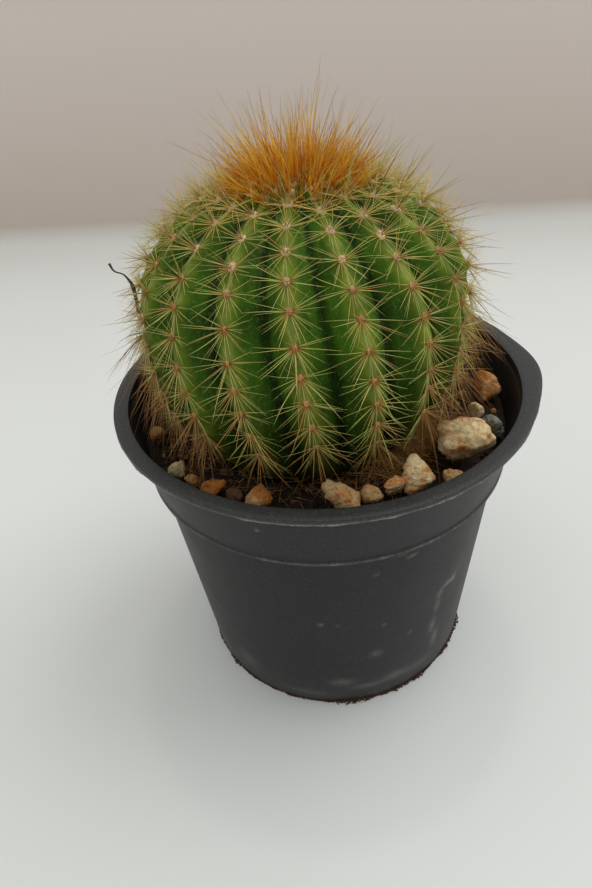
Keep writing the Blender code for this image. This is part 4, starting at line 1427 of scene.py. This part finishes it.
class CACTUS_OT_strand(bpy.types.Operator):
    """Makes the dried strand of root caught in the spines"""

    bl_idname = "cactus.make_strand"
    bl_label = "Dried strand"

    def execute(self, context):
        knots = np.array([(*place, width) for place, width in zip(STRAND_PATH, STRAND_RADII)]) * MM
        path = smooth_path(knots, 8)
        z = STEM_CENTRE_Z + path[:, 1]
        crest_radius, crest_z = crest_curve(np.radians(np.linspace(0.0, 89.0, 300)))
        centres = on_stem(np.interp(z, crest_z, crest_radius) + path[:, 0], STRAND_AZIMUTH, z)
        sides = 12
        ways = unit(np.gradient(centres, axis=0))
        across = unit(np.cross(ways, [[math.cos(STRAND_AZIMUTH), math.sin(STRAND_AZIMUTH), 0.0]]))
        beside = np.cross(ways, across)
        turns = TAU * np.arange(sides) / sides
        rumple = 1.0 + 0.16 * np.sin(2.0 * turns + 0.25 * np.arange(len(z))[:, None])
        width = (path[:, 2:] * rumple)[..., None]
        ring = across[:, None] * np.cos(turns)[:, None] + beside[:, None] * np.sin(turns)[:, None]
        points = (centres[:, None] + ring * width).reshape(-1, 3)
        here = np.arange(sides)
        caps = np.stack([here[::-1], (len(z) - 1) * sides + here])
        mesh = mesh_from("dried_root_strand", points, [turned_faces(len(z), sides)[0], caps])
        material = root_material(context.scene.cactus_ground)
        add_piece("dried_root_strand", mesh, [material], "dried_root", ["dried_strand"])
        return {"FINISHED"}


# ---------------------------------------------------------------- stage


def table_material(settings):
    """Laminate table top, matt. It gives a plain pale ground with a faint unevenness."""
    material, tree = new_material("table_laminate_matt", 0.5, 1.45)
    cloud = add_node(tree, "TexNoise", "Fac", {  # clouding about 120 mm wide
        "Vector": add_node(tree, "TexCoord", "Object"), "Scale": 8.0, "Detail": 2.0,
    })
    return finished(material, shaded(tree, settings.table_colour, cloud, 0.95, 1.04))


def wall_material(settings):
    """Painted wall, matt. It gives a taupe ground that meets the table in a soft line, with painted
    shade that darkens it towards the table.
    """
    material, tree = new_material("wall_paint_matt", 0.9, 1.45)
    place = add_node(tree, "TexCoord", "Object")
    level = add_node(tree, "SeparateXYZ", "Z", {"Vector": place})
    rise = add_node(tree, "MapRange", "Result", {"Value": level, "From Min": 0.0, "From Max": 0.12})
    # Painted shade: above the bend the wall is darker low down and grows lighter up to 120 mm.
    colour = add_node(tree, "ValToRGB", "Color", {"Fac": rise}, [
        (0.0, settings.table_colour), (0.1, (0.63, 0.54, 0.475)), (0.3, (0.66, 0.56, 0.5)),
        (1.0, settings.wall_colour),
    ])
    return finished(material, colour)


class CACTUS_OT_stage(bpy.types.Operator):
    """Makes the pale table, the wall behind it, the soft light and the camera"""

    bl_idname = "cactus.make_stage"
    bl_label = "Stage"

    def execute(self, context):
        settings = context.scene.cactus_stage
        self.make_table(settings)
        self.make_light(context.scene, settings)
        self.make_camera(context.scene)
        context.scene.view_settings.view_transform = "Standard"
        return {"FINISHED"}

    def make_table(self, settings):
        """The table curves up into a wall, on a line turned a little from the X axis."""
        middle, slope, bend = 0.2814, -0.078, 12.0 * MM
        wide, near, high = 2.0, -2.0, 0.165
        left, right = middle - slope * wide, middle + slope * wide
        table = np.array([
            [-wide, near, 0.0], [wide, near, 0.0], [wide, right, 0.0], [-wide, left, 0.0]
        ])
        rises = [
            (bend * math.sin(angle), bend * (1.0 - math.cos(angle)))
            for angle in np.radians(np.linspace(0.0, 90.0, 10))
        ] + [(bend, high)]
        wall = np.array([
            [(-wide, left + back, rise), (wide, right + back, rise)] for back, rise in rises
        ]).reshape(-1, 3)
        row = 2 * np.arange(len(rises) - 1)
        strips = np.stack([row, row + 1, row + 3, row + 2], -1)
        for name, points, faces, material in (
            ("studio_table", table, np.array([[0, 1, 2, 3]]), table_material(settings)),
            ("studio_wall", wall, strips, wall_material(settings)),
        ):
            mesh = mesh_from(name, points, [faces])
            mesh.materials.append(material)
            thing = bpy.data.objects.new(name, mesh)
            bpy.context.scene.collection.objects.link(thing)

    def make_light(self, scene, settings):
        world = bpy.data.worlds.new("even_daylight")
        scene.world = world
        world.use_nodes = True
        tree = world.node_tree
        background = tree.nodes["Background"]
        background.inputs["Color"].default_value = linear("#f4f6f4")
        way = add_node(tree, "TexCoord", "Generated")
        back = add_node(tree, "SeparateXYZ", "Y", {"Vector": way})
        strength = add_node(tree, "MapRange", "Result", {  # the room is darker in front of the pot
            "Value": back, "From Min": -0.8, "From Max": 0.5,
            "To Min": 0.8 * settings.daylight, "To Max": 1.3 * settings.daylight,
        })
        tree.links.new(strength, background.inputs["Strength"])
        for name, place, size, power, colour in (
            ("ceiling_lamp", (0.05, 0.36, 1.45), 0.12, settings.lamp_power, "#fff8ee"),
            ("soft_overhead", (0.8, 0.24, 1.2), 1.1, settings.sky_power, "#fbfdff"),
        ):
            light = bpy.data.lights.new(name, "AREA")
            light.shape = "DISK"
            light.size = size
            light.energy = power
            light.color = linear(colour)[:3]
            lamp = bpy.data.objects.new(name, light)
            lamp.location = place
            lamp.rotation_euler = (-Vector(place)).to_track_quat("-Z", "Y").to_euler()
            scene.collection.objects.link(lamp)

    def make_camera(self, scene):
        """The camera looks down on the pot from the front, turned and rolled a little."""
        down, turn, roll = (math.radians(angle) for angle in (37.19, 3.17, -5.49))
        camera = bpy.data.cameras.new("camera")
        camera.sensor_width = 36.0
        camera.lens = 27.04
        camera.clip_start = 0.01
        thing = bpy.data.objects.new("camera", camera)
        thing.matrix_world = (
            Matrix.Translation((0.0, -0.1244, 0.1485))
            @ Matrix.Rotation(turn, 4, "Z")
            @ Matrix.Rotation(math.radians(90.0) - down, 4, "X")
            @ Matrix.Rotation(roll, 4, "Z")
        )
        scene.collection.objects.link(thing)
        scene.camera = thing


# ---------------------------------------------------------------- panel


class CACTUS_PT_panel(bpy.types.Panel):
    """Settings and steps of the potted round cactus"""

    bl_idname = "CACTUS_PT_panel"
    bl_label = "Potted round cactus"
    bl_space_type = "VIEW_3D"
    bl_region_type = "UI"
    bl_category = "Cactus"

    def draw(self, context):
        for key, group in SETTINGS.items():
            box = self.layout.box()
            box.label(text=group.__doc__)
            for setting in group.__annotations__:
                box.prop(getattr(context.scene, key), setting)
        for operator in OPERATORS:
            self.layout.operator(operator.bl_idname)


OPERATORS = (
    CACTUS_OT_stage,
    CACTUS_OT_pot,
    CACTUS_OT_soil,
    CACTUS_OT_stones,
    CACTUS_OT_stem,
    CACTUS_OT_spines,
    CACTUS_OT_crown,
    CACTUS_OT_litter,
    CACTUS_OT_strand,
    CACTUS_OT_foot_dirt_and_shadow,
)

CLASSES = (*SETTINGS.values(), *OPERATORS, CACTUS_PT_panel)


def register():
    for kind in CLASSES:
        bpy.utils.register_class(kind)
    for key, group in SETTINGS.items():
        setattr(bpy.types.Scene, key, PointerProperty(type=group))


def unregister():
    for key in SETTINGS:
        delattr(bpy.types.Scene, key)
    for kind in reversed(CLASSES):
        bpy.utils.unregister_class(kind)


def main():
    register()
    bpy.ops.cactus.make_stage()
    bpy.ops.cactus.make_pot()
    bpy.ops.cactus.make_soil()
    bpy.ops.cactus.make_stones()
    bpy.ops.cactus.make_stem()
    bpy.ops.cactus.make_spines()
    bpy.ops.cactus.make_crown()
    bpy.ops.cactus.make_litter()
    bpy.ops.cactus.make_strand()
    bpy.ops.cactus.make_foot_dirt()


if __name__ == "__main__":
    main()
